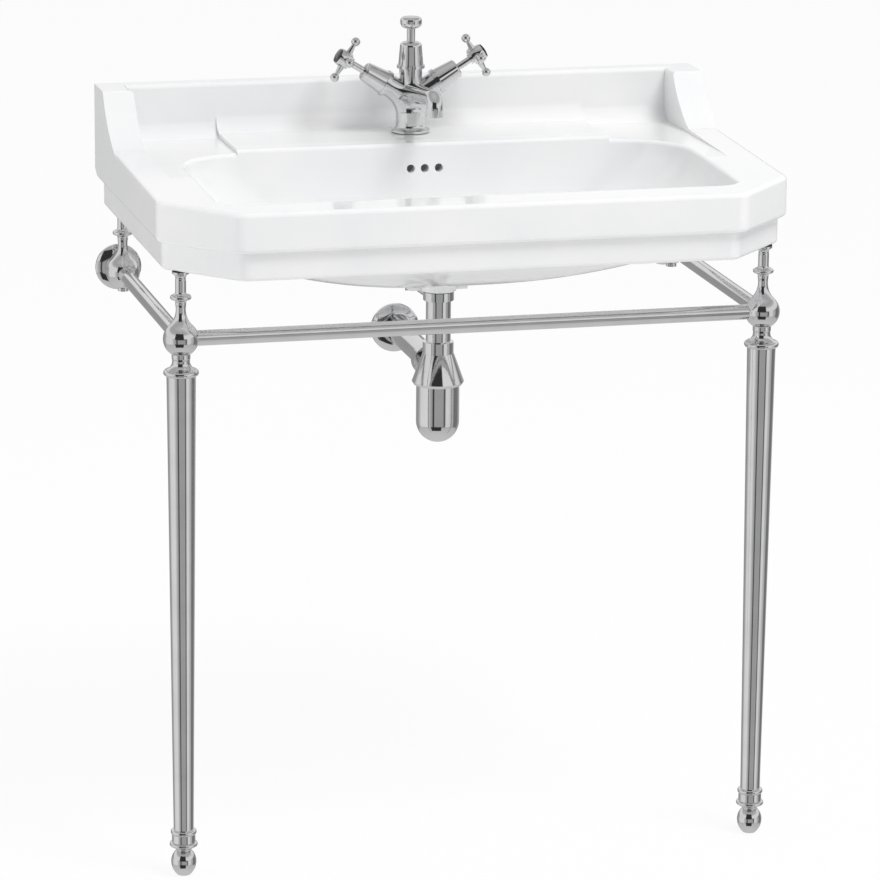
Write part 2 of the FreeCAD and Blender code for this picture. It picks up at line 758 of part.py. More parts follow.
def basin():
    """The glazed basin: two tiers, upstand with returns, trays, bowl, hollow underside and its holes."""
    body = document.addObject("PartDesign::Body", "basin")
    side = [
        (depth("0"), "tier_edge + apron_rise"),
        (depth("0"), "upstand_top"),
        (depth("return_top_depth"), "upstand_top", "return_sweep"),
        (depth("return_foot_depth"), "rim_back_top"),
        (depth("basin_depth"), "rim_front_top"),
        (depth("basin_depth"), "tier_edge"),
        (depth("apron_depth"), "tier_edge"),
    ]
    sketch = sketch_in(body, "upper_tier_side", "YZ_Plane", [side])
    extrude(body, "Pad", "upper_tier", sketch, "basin_width", symmetric=True)
    front = depth("basin_depth")
    corners = []
    for hand in SIDES.values():
        corners.append([
            (sided(hand, "basin_width / 2"), f"{front} + corner_cut_depth"),
            (sided(hand, "basin_width / 2 + overrun"), f"{front} + corner_cut_depth"),
            (sided(hand, "basin_width / 2 + overrun"), f"{front} - overrun"),
            (sided(hand, "basin_width / 2 - corner_cut_width"), f"{front} - overrun"),
            (sided(hand, "basin_width / 2 - corner_cut_width"), front),
        ])
    sketch = sketch_in(body, "corner_cut_plan", "XY_Plane", corners)
    extrude(body, "Pocket", "corner_cuts", sketch, "2 * upstand_top + overrun", symmetric=True)
    tier = tier_outline("tier_inset", "apron_depth")
    sketch = sketch_in(body, "lower_tier_plan", "XY_Plane", [tier], "basin_underside")
    extrude(body, "Pad", "lower_tier", sketch, "tier_edge - basin_underside")
    clearing = upstand_clearing("0", "return_foot_depth + overrun")
    sketch = sketch_in(body, "upstand_side", "YZ_Plane", [clearing])
    extrude(body, "Pocket", "upstand_front", sketch, "basin_width - 2 * return_width", symmetric=True)
    for name, hand in SIDES.items():
        start = "ledge_half_width" if hand > 0 else "return_width - basin_width / 2"
        outline = upstand_clearing("tray_drop", "tray_front_depth")
        sketch = sketch_in(body, f"tray_side_{name}", "YZ_Plane", [outline], start)
        tray_width = "basin_width / 2 - return_width - ledge_half_width"
        extrude(body, "Pocket", f"tray_{name}", sketch, tray_width, reverse=True)
    cavity_inset = "(tier_inset + ceramic_wall)"
    cavity = tier_outline(cavity_inset, "cavity_back_wall", "post_pad_size / 2", "post_pad_size")
    sketch = sketch_in(body, "cavity_plan", "XY_Plane", [cavity], "basin_underside - overrun")
    extrude(body, "Pocket", "cavity", sketch, "cavity_top - basin_underside + overrun", reverse=True)
    bowl_loft(body, "AdditiveLoft", "bowl_shell", "ceramic_wall", "cavity_top", "bowl_floor - ceramic_wall")
    boss = circle_outline("drain_boss_radius", "0", depth("drain_depth"))
    sketch = sketch_in(body, "drain_boss_plan", "XY_Plane", [boss], "drain_boss_bottom")
    extrude(body, "Pad", "drain_boss", sketch, "bowl_floor - drain_boss_bottom")
    rib_back = depth("duct_back_depth")
    rib = box_outline("-duct_half", depth("drain_depth"), "duct_half", rib_back, "ceramic_wall")
    sketch = sketch_in(body, "overflow_rib_plan", "XY_Plane", [rib], "drain_boss_bottom")
    extrude(body, "Pad", "overflow_rib", sketch, "cavity_top - drain_boss_bottom")
    bowl_loft(body, "SubtractiveLoft", "bowl", "0", "rim_back_top + overrun", "bowl_floor")
    duct_front = depth("duct_back_depth + duct_gap")
    duct = box_outline("-duct_half", duct_front, "duct_half", depth("duct_back_depth"), "0")
    sketch = sketch_in(body, "overflow_duct_plan", "XY_Plane", [duct], "duct_floor")
    duct_height = "overflow_height + 2 * overflow_hole_radius - duct_floor"
    extrude(body, "Pocket", "overflow_duct", sketch, duct_height, reverse=True)
    channel = box_outline("-duct_half", depth("drain_depth"), "duct_half", duct_front, "0")
    sketch = sketch_in(body, "overflow_channel_plan", "XY_Plane", [channel], "duct_floor")
    extrude(body, "Pocket", "overflow_channel", sketch, "duct_mouth", reverse=True)
    holes = [circle_outline("drain_hole_radius", "0", depth("drain_depth"))]
    sketch = sketch_in(body, "drain_hole_plan", "XY_Plane", holes, "drain_boss_bottom - overrun")
    drain_length = "bowl_floor - drain_boss_bottom + 2 * overrun"
    extrude(body, "Pocket", "drain_hole", sketch, drain_length, reverse=True)
    holes = [circle_outline("drain_seat_radius", "0", depth("drain_depth"))]
    sketch = sketch_in(body, "flange_seat_plan", "XY_Plane", holes, "bowl_floor - flange_seat_drop")
    extrude(body, "Pocket", "flange_seat", sketch, "flange_seat_drop + overrun", reverse=True)
    holes = [circle_outline("tap_hole_radius", "0", depth("tap_axis_depth"))]
    sketch = sketch_in(body, "tap_hole_plan", "XY_Plane", holes, "cavity_top - overrun")
    extrude(body, "Pocket", "tap_hole", sketch, "rim_back_top - cavity_top + 2 * overrun", reverse=True)
    holes = [
        circle_outline("overflow_hole_radius", f"{step} * overflow_pitch", "overflow_height")
        for step in (-1, 0, 1)
    ]
    sketch = sketch_in(body, "overflow_holes_front", "XZ_Plane", holes, f"-{duct_front}")
    hole_reach = "drain_depth - duct_back_depth - duct_gap"
    extrude(body, "Pocket", "overflow_holes", sketch, hole_reach, reverse=True)
    holes = [
        circle_outline("wall_bolt_radius", sided(hand, "wall_bolt_half_spacing"), "wall_bolt_height")
        for hand in SIDES.values()
    ]
    sketch = sketch_in(body, "wall_bolt_front", "XZ_Plane", holes, f"-{depth('-overrun')}")
    extrude(body, "Pocket", "wall_bolt_holes", sketch, "cavity_back_wall + 2 * overrun", reverse=True)
    rounded(body, "tier_corner_rounds", "corner_round", is_tier_corner)
    rounded(body, "rim_rounds", "edge_round", is_rim)
    rounded(body, "underside_rounds", "underside_round", is_underside_edge)
    rounded(body, "upstand_rounds", "edge_round", is_upstand_edge)
    rounded(body, "bowl_lip_rounds", "bowl_lip_round", is_bowl_lip)
    return body


# Rises of turned curves as shares of their chords.
QUARTER_ROUND_SHARE = 0.2071
FLARE_SHARE = 0.2
SHOULDER_SHARE = 0.12
COLLAR_SHARE = 0.48
RING_SHARE = 0.25
DOME_SHARE = 0.1
HUB_SHARE = 0.06

FLOW_HOLES = 6

# Levels and places that several pieces share.
NECK_BOTTOM = "(rail_height - lower_neck_drop)"
COLLAR_TOP = f"({NECK_BOTTOM} - collar_flare_height)"
COLLAR_BOTTOM = f"({COLLAR_TOP} - collar_height)"
FERRULE_RINGS = "ferrule_ring_height + ferrule_body_height + ferrule_foot_ring_height"
FERRULE_BOTTOM = f"(leg_bottom - ({FERRULE_RINGS} + ferrule_cove_height))"
SPOUT_TURN = "spout_bend_radius * (1 + sin(spout_climb_angle))"
SPOUT_DROP = "spout_bend_radius * cos(spout_climb_angle)"
OUTLET_DEPTH = f"(tap_axis_depth + spout_length * cos(spout_climb_angle) + {SPOUT_TURN})"
OUTLET_TOP = f"(rim_back_top + spout_rise + spout_length * sin(spout_climb_angle) - {SPOUT_DROP})"
BELL_TOP = "(tap_hub_top + bell_height)"
KNOB_BOTTOM = f"({BELL_TOP} + knob_gap)"
FLANGE_UNDERSIDE = "(bowl_floor - flange_seat_drop + flange_seal_thickness)"
DISH_LEVEL = f"({FLANGE_UNDERSIDE} + flange_thickness - flange_dish)"
SPIGOT_RADIUS = "(waste_tube_radius - waste_tube_wall - fit_gap)"
SPIGOT_BORE = f"({SPIGOT_RADIUS} - spigot_wall)"
LEVER_ARM = "(drain_depth - pivot_offset - tap_axis_depth - strap_offset)"
LEVER_SLOPE = "tan(lever_rest_tilt)"
PLUG_SEAT = f"({DISH_LEVEL} + plug_seat_gap + knob_travel * pivot_offset / {LEVER_ARM})"
TRAP_NECK_TOP = "(waste_tube_bottom + trap_grip)"
TRAP_NECK_RADIUS = "(waste_tube_radius + fit_gap + trap_neck_wall)"
TRAP_NUT_BOTTOM = f"({TRAP_NECK_TOP} + trap_seal_height + trap_nut_lip - trap_nut_height)"
TRAP_LEDGE = "(waste_tube_bottom - dip_lip)"
CONE_BOTTOM = f"({TRAP_NUT_BOTTOM} - cone_height)"
BOTTLE_TOP = f"({CONE_BOTTOM} + bottle_socket)"
ON_TAP = {"y": depth("tap_axis_depth"), "z": "rim_back_top"}
ON_WASTE = {"y": depth("drain_depth")}
ON_PIVOT_LINE = {"y": depth("drain_depth"), "z": "pivot_height", "turn": TOWARDS_WALL}
ON_OUTLET_LINE = {"y": depth("drain_depth"), "z": "outlet_height", "turn": TOWARDS_WALL}


def tangent_radius(run, drop):
    """The radius of an arc over this run and drop that has one end square to the run."""
    return f"((({run}) ^ 2 + ({drop}) ^ 2) / (2 * ({run})))"


def ball_level(radius, upwards):
    """The height at which a post's ball has this radius, above or below its middle."""
    return f"(rail_height + {upwards} * sqrt(ball_radius ^ 2 - {radius} ^ 2))"


def post_place(end, hand):
    """Where the front or rear post of one side stands."""
    return {"x": sided(hand, "post_half_spacing"), "y": depth(f"{end}_post_depth")}


def post_profile(foot):
    """A post from its cup under the basin, past a bead and a shoulder, to its ball and what is below it."""
    top = "(basin_underside - seat_pad_thickness)"
    bead = "(rail_height + bead_rise)"
    return [
        ("0", top),
        ("cup_radius", top),
        ("cup_radius", f"{top} - cup_rim", -FLARE_SHARE),
        ("neck_radius", f"{top} - cup_rim - cup_flare"),
        ("neck_radius", f"{bead} + bead_width / 2", -FLARE_SHARE),
        ("bead_radius", f"{bead} + bead_edge / 2", RING_SHARE),
        ("bead_radius", f"{bead} - bead_edge / 2", -FLARE_SHARE),
        ("neck_radius", f"{bead} - bead_width / 2"),
        ("neck_radius", "rail_height + shoulder_rise", -SHOULDER_SHARE),
        ("shoulder_radius", ball_level("shoulder_radius", 1), "ball_radius"),
        *foot,
    ]


def rail_socket(name, x, y, turn):
    """The hole in a ball that takes the end of a rail."""
    return rod(name, "rail_radius + fit_gap", "ball_radius", x=x, y=y, z="rail_height", turn=turn)


def grub_hole(name, x, y):
    """The hole from below a ball to its rail socket."""
    return rod(name, "grub_radius + fit_gap", "ball_radius", x=x, y=y, z="rail_height - ball_radius")


def grub_spots(hand):
    """Where grub screws hold the front rail and both ends of the side rail on one side."""
    beside = sided(hand, "post_half_spacing - grub_offset")
    x = sided(hand, "post_half_spacing")
    return {
        "front_rail": (beside, depth("front_post_depth")),
        "side_rail_front": (x, depth("front_post_depth - grub_offset")),
        "side_rail_rear": (x, depth("rear_post_depth + grub_offset")),
    }


def front_post(side, hand):
    """A front post, with sockets for two rails and a hole for the leg's stud."""
    foot = [
        ("lower_neck_radius", ball_level("lower_neck_radius", -1)),
        ("lower_neck_radius", NECK_BOTTOM),
        ("0", NECK_BOTTOM),
    ]
    where = post_place("front", hand)
    inward = (Y_AXIS, -hand * QUARTER_TURN)
    spots = grub_spots(hand)
    floor_x = sided(hand, "post_half_spacing - socket_floor")
    floor_y = depth("front_post_depth - socket_floor")
    return cut(
        f"front_post_{side}",
        place(turned(f"front_post_{side}_turning", post_profile(foot)), **where),
        rail_socket(f"front_socket_{side}", floor_x, where["y"], inward),
        rail_socket(f"side_socket_{side}", where["x"], floor_y, TOWARDS_WALL),
        grub_hole(f"front_rail_grub_hole_{side}", *spots["front_rail"]),
        grub_hole(f"side_rail_grub_hole_{side}", *spots["side_rail_front"]),
        rod(f"leg_stud_hole_{side}", "leg_stud_radius + fit_gap", "leg_stud_reach + overrun", **where,
            z=f"{NECK_BOTTOM} - overrun"),
    )


def rear_post(side, hand):
    """A rear post with its finial, its arm to the wall and the thread in the arm's end."""
    finial_bottom = "rail_height - ball_radius - finial_drop"
    foot = [
        ("finial_radius", ball_level("finial_radius", -1)),
        ("finial_radius", finial_bottom),
        ("0", finial_bottom),
    ]
    where = post_place("rear", hand)
    at_wall = {"x": where["x"], "z": "rail_height", "turn": TOWARDS_FRONT}
    socket_start = depth("rear_post_depth + socket_floor")
    blank = joined(
        f"rear_post_{side}_blank",
        place(turned(f"rear_post_{side}_turning", post_profile(foot)), **where),
        rod(f"wall_arm_{side}", "wall_arm_radius", "rear_post_depth", y=depth("0"), **at_wall),
    )
    return cut(
        f"rear_post_{side}",
        blank,
        rail_socket(f"rear_socket_{side}", where["x"], socket_start, TOWARDS_FRONT),
        grub_hole(f"rear_grub_hole_{side}", *grub_spots(hand)["side_rail_rear"]),
        rod(f"wall_thread_{side}", "wall_thread_radius", "wall_thread_depth + overrun", y=depth("-overrun"),
            **at_wall),
    )


def rails():
    """The front rail and two side rails, which are tubes between the floors of their sockets."""
    inner = "rail_radius - rail_wall"
    rail = tube("front_rail_tube", "rail_radius", inner, "0", "2 * (post_half_spacing - socket_floor)")
    left_end = "-(post_half_spacing - socket_floor)"
    node("front_rail", place(rail, left_end, depth("front_post_depth"), "rail_height", TOWARDS_RIGHT))
    length = "front_post_depth - rear_post_depth - 2 * socket_floor"
    start = depth("rear_post_depth + socket_floor")
    for side, hand in SIDES.items():
        rail = tube(f"side_rail_{side}_tube", "rail_radius", inner, "0", length)
        x = sided(hand, "post_half_spacing")
        node(f"side_rail_{side}", place(rail, x, start, "rail_height", TOWARDS_FRONT))


def rosette(name, kind, hole):
    """A domed cover plate round a pipe or arm, with its flat back at the wall."""
    return turned(name, [
        (hole, f"{kind}_height"),
        (f"{kind}_hub_radius", f"{kind}_height", DOME_SHARE),
        (f"{kind}_radius", f"{kind}_edge"),
        (f"{kind}_radius", "0"),
        (hole, "0"),
    ])


def leg(side):
    """A tapered tube under its collar, closed at the top round the stud."""
    hole = "(leg_stud_radius + fit_gap)"
    return turned(f"leg_{side}_turning", [
        (hole, NECK_BOTTOM),
        ("lower_neck_radius", NECK_BOTTOM, -FLARE_SHARE),
        ("leg_top_radius", COLLAR_TOP, COLLAR_SHARE),
        ("leg_top_radius", COLLAR_BOTTOM),
        ("leg_foot_radius", "leg_bottom"),
        ("leg_foot_radius - leg_wall", "leg_bottom"),
        ("leg_top_radius - leg_wall", COLLAR_BOTTOM),
        (hole, COLLAR_BOTTOM),
    ])


def foot_ferrule(side):
    """The ringed ferrule at the foot of a leg, with its spigot inside the leg."""
    hole = "(foot_stud_radius + fit_gap)"
    spigot = "(leg_foot_radius - leg_wall - fit_gap)"
    ring_bottom = "(leg_bottom - ferrule_ring_height)"
    body_bottom = f"({ring_bottom} - ferrule_body_height)"
    return turned(f"foot_ferrule_{side}_turning", [
        (hole, "leg_bottom + ferrule_spigot"),
        (spigot, "leg_bottom + ferrule_spigot"),
        (spigot, "leg_bottom"),
        ("ferrule_body_radius", "leg_bottom", RING_SHARE),
        ("ferrule_body_radius", ring_bottom),
        ("ferrule_body_radius", body_bottom, COLLAR_SHARE),
        ("ferrule_body_radius", f"{body_bottom} - ferrule_foot_ring_height", -FLARE_SHARE),
        ("ferrule_neck_radius", FERRULE_BOTTOM),
        (hole, FERRULE_BOTTOM),
    ])


def levelling_foot(side):
    """The swelling foot with a flat pad on the floor and a stud up into the ferrule."""
    stud_top = f"{FERRULE_BOTTOM} + foot_stud_length"
    upper_rise = f"{FERRULE_BOTTOM} - foot_swell_height"
    upper_curve = tangent_radius("foot_swell_radius - foot_neck_radius", upper_rise)
    lower_curve = tangent_radius("foot_swell_radius - foot_pad_radius", "foot_swell_height")
    return turned(f"levelling_foot_{side}_turning", [
        ("0", stud_top),
        ("foot_stud_radius", stud_top),
        ("foot_stud_radius", FERRULE_BOTTOM),
        ("foot_neck_radius", FERRULE_BOTTOM, upper_curve),
        ("foot_swell_radius", "foot_swell_height", lower_curve),
        ("foot_pad_radius", "0"),
        ("0", "0"),
    ])


def stand():
    """Posts, rails, rosettes, legs and feet, with the pads, grub screws and studs between them."""
    rails()
    pads = []
    grubs = []
    studs = []
    for side, hand in SIDES.items():
        node(f"front_post_{side}", front_post(side, hand))
        node(f"rear_post_{side}", rear_post(side, hand))
        plate = rosette(f"wall_rosette_{side}_turning", "rosette", "(wall_arm_radius + fit_gap)")
        x = sided(hand, "post_half_spacing")
        node(f"wall_rosette_{side}", place(plate, x, depth("0"), "rail_height", TOWARDS_FRONT))
        where = post_place("front", hand)
        node(f"leg_{side}", place(leg(side), **where))
        node(f"foot_ferrule_{side}", place(foot_ferrule(side), **where))
        node(f"levelling_foot_{side}", place(levelling_foot(side), **where))
        stud_length = f"{NECK_BOTTOM} - {COLLAR_BOTTOM} + leg_stud_reach"
        studs.append(rod(f"leg_stud_{side}", "leg_stud_radius", stud_length, **where, z=COLLAR_BOTTOM))
        for end in ("front", "rear"):
            spot = post_place(end, hand)
            pads.append(rod(f"seat_pad_{end}_{side}", "cup_radius", "seat_pad_thickness", **spot,
                            z="basin_underside - seat_pad_thickness"))
        for spot, (grub_x, grub_y) in grub_spots(hand).items():
            grubs.append(rod(f"grub_{spot}_{side}", "grub_radius", "grub_length", x=grub_x, y=grub_y,
                             z="rail_height - rail_radius - grub_length"))
    group("seat_pads", pads)
    group("rail_set_screws", grubs)
    group("leg_studs", studs)


def on_valve(hand, distance):
    """Where a piece sits on a valve's axis, this far from the middle of the tap, and how it is turned."""
    return {
        "x": f"{hand} * ({distance}) * cos(valve_rise_angle)",
        "y": depth("tap_axis_depth"),
        "z": f"rim_back_top + valve_axis_rise + ({distance}) * sin(valve_rise_angle)",
        "turn": (FreeCAD.Vector(0, hand, 0), f"{QUARTER_TURN} - valve_rise_angle"),
    }


def on_spout(distance):
    """Where a piece starts on the spout's straight run, and how it is turned."""
    return {
        "y": depth(f"tap_axis_depth + ({distance}) * cos(spout_climb_angle)"),
        "z": f"rim_back_top + spout_rise + ({distance}) * sin(spout_climb_angle)",
        "turn": (X_AXIS, f"{QUARTER_TURN} - spout_climb_angle"),
    }


def spout_bend(name, radius):
    """The bend at the spout's end, from its climbing run to straight down."""
    made = document.addObject("Part::Torus", name)
    tie(made, "Radius1", "spout_bend_radius")
    tie(made, "Radius2", radius)
    tie(made, "Angle3", f"{QUARTER_TURN} + spout_climb_angle")
    return place(made, y=depth(f"{OUTLET_DEPTH} - spout_bend_radius"), z=OUTLET_TOP, turn=BEND_DOWN)


def tap_column():
    """The tap's upright body, from its hub down to the flange on the basin."""
    flange_top = "tap_seal_thickness + tap_flange_edge"
    column = turned("tap_column", [
        ("0", "tap_hub_top"),
        ("tap_hub_radius", "tap_hub_top"),
        ("tap_hub_radius", "tap_hub_bottom"),
        ("tap_swell_radius", "tap_swell_rise", -FLARE_SHARE),
        ("tap_column_radius", "tap_column_top"),
        ("tap_column_radius", f"{flange_top} + tap_cove_height", -FLARE_SHARE),
        ("tap_flange_radius", flange_top),
        ("tap_flange_radius", "tap_seal_thickness"),
        ("0", "tap_seal_thickness"),
    ])
    return place(column, **ON_TAP)


def spout():
    """The tapered spout with its bend and the threaded spigot for the outlet ring."""
    run = document.addObject("Part::Cone", "spout_run")
    tie(run, "Radius1", "spout_root_radius")
    tie(run, "Radius2", "spout_tip_radius")
    tie(run, "Height", "spout_length")
    spigot = rod("outlet_spigot", "outlet_spigot_radius", "outlet_spigot_length", y=depth(OUTLET_DEPTH),
                 z=f"{OUTLET_TOP} - outlet_spigot_length")
    return [place(run, **on_spout("0")), spout_bend("spout_elbow", "spout_tip_radius"), spigot]


def branch_bend(name, hand):
    """The curve that leads the upright column over into a valve branch."""
    turn_angle = f"({QUARTER_TURN} - valve_rise_angle)"
    made = document.addObject("Part::Torus", f"branch_bend_{name}")
    tie(made, "Radius1", "branch_bend_radius")
    tie(made, "Radius2", "branch_radius - fit_gap")
    tie(made, "Angle3", turn_angle)
    start = f"branch_bend_offset * tan(valve_rise_angle) - branch_bend_radius * tan({turn_angle} / 2)"
    return place(
        made,
        x=f"{hand} * (branch_bend_offset + branch_bend_radius)",
        y=depth("tap_axis_depth"),
        z=f"rim_back_top + valve_axis_rise + {start}",
        turn=BEND_OUT[hand],
    )


def water_ways():
    """Everything drilled in the tap body: inlets, valve bores, water ways, lift rod and stud holes."""
    riser_top = "valve_axis_rise + (inlet_half_spacing + 2 * water_way_radius) * tan(valve_rise_angle)"
    cross_way_height = "rim_back_top + valve_axis_rise + valve_bore_start * sin(valve_rise_angle)"
    tools = [
        rod("lift_rod_bore", "lift_rod_radius + lift_rod_clearance", "tap_hub_top + overrun", **ON_TAP),
        rod("stud_socket", "fixing_stud_radius + fit_gap", "tap_seal_thickness + fixing_stud_socket",
            y=depth("tap_axis_depth - fixing_stud_setback"), z="rim_back_top"),
        rod("spout_way", "spout_way_radius", "spout_length - spout_way_start", **on_spout("spout_way_start")),
        spout_bend("spout_way_elbow", "spout_way_radius"),
        rod("outlet_way", "spout_way_radius", "outlet_spigot_length + overrun", y=depth(OUTLET_DEPTH),
            z=f"{OUTLET_TOP} - outlet_spigot_length - overrun"),
        rod("cross_way", "cross_way_radius", "2 * cross_way_half", x="-cross_way_half",
            y=depth("tap_axis_depth + cross_way_offset"), z=cross_way_height, turn=TOWARDS_RIGHT),
    ]
    for name, hand in VALVES.items():
        x = sided(hand, "inlet_half_spacing")
        tools += [
            rod(f"valve_bore_{name}", "headwork_radius + fit_gap", "branch_length",
                **on_valve(hand, "valve_bore_start")),
            rod(f"inlet_{name}", "inlet_radius", "tap_seal_thickness + inlet_depth", x=x, **ON_TAP),
            rod(f"riser_{name}", "water_way_radius", riser_top, x=x, **ON_TAP),
        ]
    return tools


def tap_body():
    """The cast tap: column, two valve branches and spout, with its water ways."""
    branches = []
    for name, hand in VALVES.items():
        branches.append(rod(f"branch_{name}", "branch_radius", "branch_length", **on_valve(hand, "0")))
        branches.append(branch_bend(name, hand))
    return cut("tap_body", joined("tap_casting", tap_column(), *branches, *spout()), *water_ways())


def outlet():
    """The ring screwed on the spout's spigot, and the flow insert held above its lip."""
    bore = "(outlet_spigot_radius + fit_gap)"
    low = "-outlet_ring_height"
    insert_bottom = "-outlet_spigot_length - flow_insert_height"
    ring = turned("outlet_ring_turning", [
        (bore, "0"),
        ("outlet_ring_radius", "0"),
        ("outlet_ring_radius", low),
        ("outlet_lip_radius", low),
        ("outlet_lip_radius", insert_bottom),
        (bore, insert_bottom),
    ])
    insert = document.addObject("PartDesign::Body", "flow_insert_disc")
    outlines = [circle_outline("outlet_spigot_radius", "0", "0")]
    for angle in range(0, FULL_TURN, FULL_TURN // FLOW_HOLES):
        x = f"flow_hole_ring * cos({angle})"
        y = f"flow_hole_ring * sin({angle})"
        outlines.append(circle_outline("flow_hole_radius", x, y))
    sketch = sketch_in(insert, "flow_insert_plan", "XY_Plane", outlines, insert_bottom)
    extrude(insert, "Pad", "flow_insert_pad", sketch, "flow_insert_height")
    for label, piece in (("outlet_ring", ring), ("flow_insert", insert)):
        node(label, place(piece, y=depth(OUTLET_DEPTH), z=OUTLET_TOP))


def headwork(name):
    """The valve cartridge in a branch, with its port inside and the spindle's bearing outside."""
    bearing = "(spindle_radius + running_gap)"
    bearing_end = "(spindle_start - spindle_clearance)"
    return turned(f"headwork_{name}_turning", [
        ("headwork_port_radius", "valve_bore_start"),
        ("headwork_radius", "valve_bore_start"),
        ("headwork_radius", "headwork_end"),
        (bearing, "headwork_end"),
        (bearing, bearing_end),
        ("0", bearing_end),
        ("0", "valve_bore_start + headwork_port_depth"),
        ("headwork_port_radius", "valve_bore_start + headwork_port_depth"),
    ])


def shroud(name):
    """The tapered cover over a headwork, with a ring against the branch."""
    bore = "(headwork_radius + fit_gap)"
    hole = "(spindle_radius + spindle_clearance)"
    ring_top = "branch_length + shroud_ring_width"
    return turned(f"shroud_{name}_turning", [
        (hole, "shroud_end"),
        ("shroud_end_radius - shroud_lip_round", "shroud_end", QUARTER_ROUND_SHARE),
        ("shroud_end_radius", "shroud_end - shroud_lip_round"),
        ("shroud_foot_radius", ring_top),
        ("shroud_ring_radius", ring_top),
        ("shroud_ring_radius", "branch_length"),
        (bore, "branch_length"),
        (bore, "shroud_end - shroud_wall"),
        (hole, "shroud_end - shroud_wall"),
    ])


def handle(name):
    """A cross handle: a barrel hub on the spindle and four arms with ball ends."""
    socket = "(spindle_radius + fit_gap)"
    collar_top = "hub_collar_length - hub_half_length"
    socket_top = "hub_socket_depth - hub_half_length"
    body = turned(f"handle_{name}_turning", [
        ("0", "hub_half_length"),
        ("hub_radius", "hub_half_length", HUB_SHARE),
        ("hub_radius", collar_top),
        ("hub_collar_radius", collar_top),
        ("hub_collar_radius", "-hub_half_length"),
        (socket, "-hub_half_length"),
        (socket, socket_top),
        ("0", socket_top),
    ])
    ball_root = "(arm_reach - sqrt(arm_ball_radius ^ 2 - arm_radius ^ 2))"
    arm = [
        ("-arm_reach - arm_ball_radius", "0", "arm_ball_radius"),
        (f"-{ball_root}", "arm_radius"),
        ("-hub_radius", "arm_root_radius"),
        ("hub_radius", "arm_root_radius"),
        (ball_root, "arm_radius", "arm_ball_radius"),
        ("arm_reach + arm_ball_radius", "0"),
    ]
    for plane in ("XZ_Plane", "YZ_Plane"):
        sketch = sketch_in(body, f"arms_{name}_{plane}", plane, [arm])
        revolve(body, "Revolution", f"arms_{name}_{plane}_turning", sketch, "H_Axis")
    return body


def index_cap(name):
    """The domed cap on the outer end of a handle's hub."""
    return turned(f"index_cap_{name}_turning", [
        ("0", "hub_half_length + cap_edge + cap_dome", tangent_radius("cap_dome", "cap_radius")),
        ("cap_radius", "hub_half_length + cap_edge"),
        ("cap_radius", "hub_half_length"),
        ("0", "hub_half_length"),
    ])


def valves():
    """Headwork, shroud, spindle, handle and index cap on each branch."""
    spindle_length = "handle_distance - hub_half_length + hub_socket_depth - spindle_start"
    for name, hand in VALVES.items():
        node(f"headwork_{name}", place(headwork(name), **on_valve(hand, "0")))
        node(f"shroud_{name}", place(shroud(name), **on_valve(hand, "0")))
        start = on_valve(hand, "spindle_start")
        node(f"spindle_{name}", rod(f"spindle_{name}_rod", "spindle_radius", spindle_length, **start))
        node(f"handle_{name}", place(handle(name), **on_valve(hand, "handle_distance")))
        node(f"index_cap_{name}", place(index_cap(name), **on_valve(hand, "handle_distance")))


def centre_bell():
    """The bell on the tap's hub that guides the lift rod."""
    hole = "(lift_rod_radius + lift_rod_clearance)"
    ring_top = "tap_hub_top + bell_ring_height"
    return turned("centre_bell_turning", [
        (hole, BELL_TOP),
        ("bell_top_radius - bell_crown", BELL_TOP, QUARTER_ROUND_SHARE),
        ("bell_top_radius", f"{BELL_TOP} - bell_crown"),
        ("bell_foot_radius", ring_top),
        ("bell_ring_radius", ring_top),
        ("bell_ring_radius", "tap_hub_top"),
        ("bell_cavity_radius", "tap_hub_top"),
        ("bell_cavity_radius", f"{BELL_TOP} - bell_roof"),
        (hole, f"{BELL_TOP} - bell_roof"),
    ])


def lift_knob():
    """The knob that is pulled up to close the plug, with a socket for its rod."""
    neck_top = f"({KNOB_BOTTOM} + knob_neck_length)"
    rim_bottom = f"({neck_top} + knob_flare_height)"
    rim_top = f"({rim_bottom} + knob_rim_height)"
    socket = "(lift_rod_radius + fit_gap)"
    return turned("lift_knob_turning", [
        ("0", f"{rim_top} + knob_edge_round"),
        ("knob_radius - knob_edge_round", f"{rim_top} + knob_edge_round", QUARTER_ROUND_SHARE),
        ("knob_radius", rim_top),
        ("knob_radius", rim_bottom, FLARE_SHARE),
        ("knob_neck_radius", neck_top),
        ("knob_neck_radius", KNOB_BOTTOM),
        (socket, KNOB_BOTTOM),
        (socket, f"{KNOB_BOTTOM} + knob_socket_depth"),
        ("0", f"{KNOB_BOTTOM} + knob_socket_depth"),
    ])


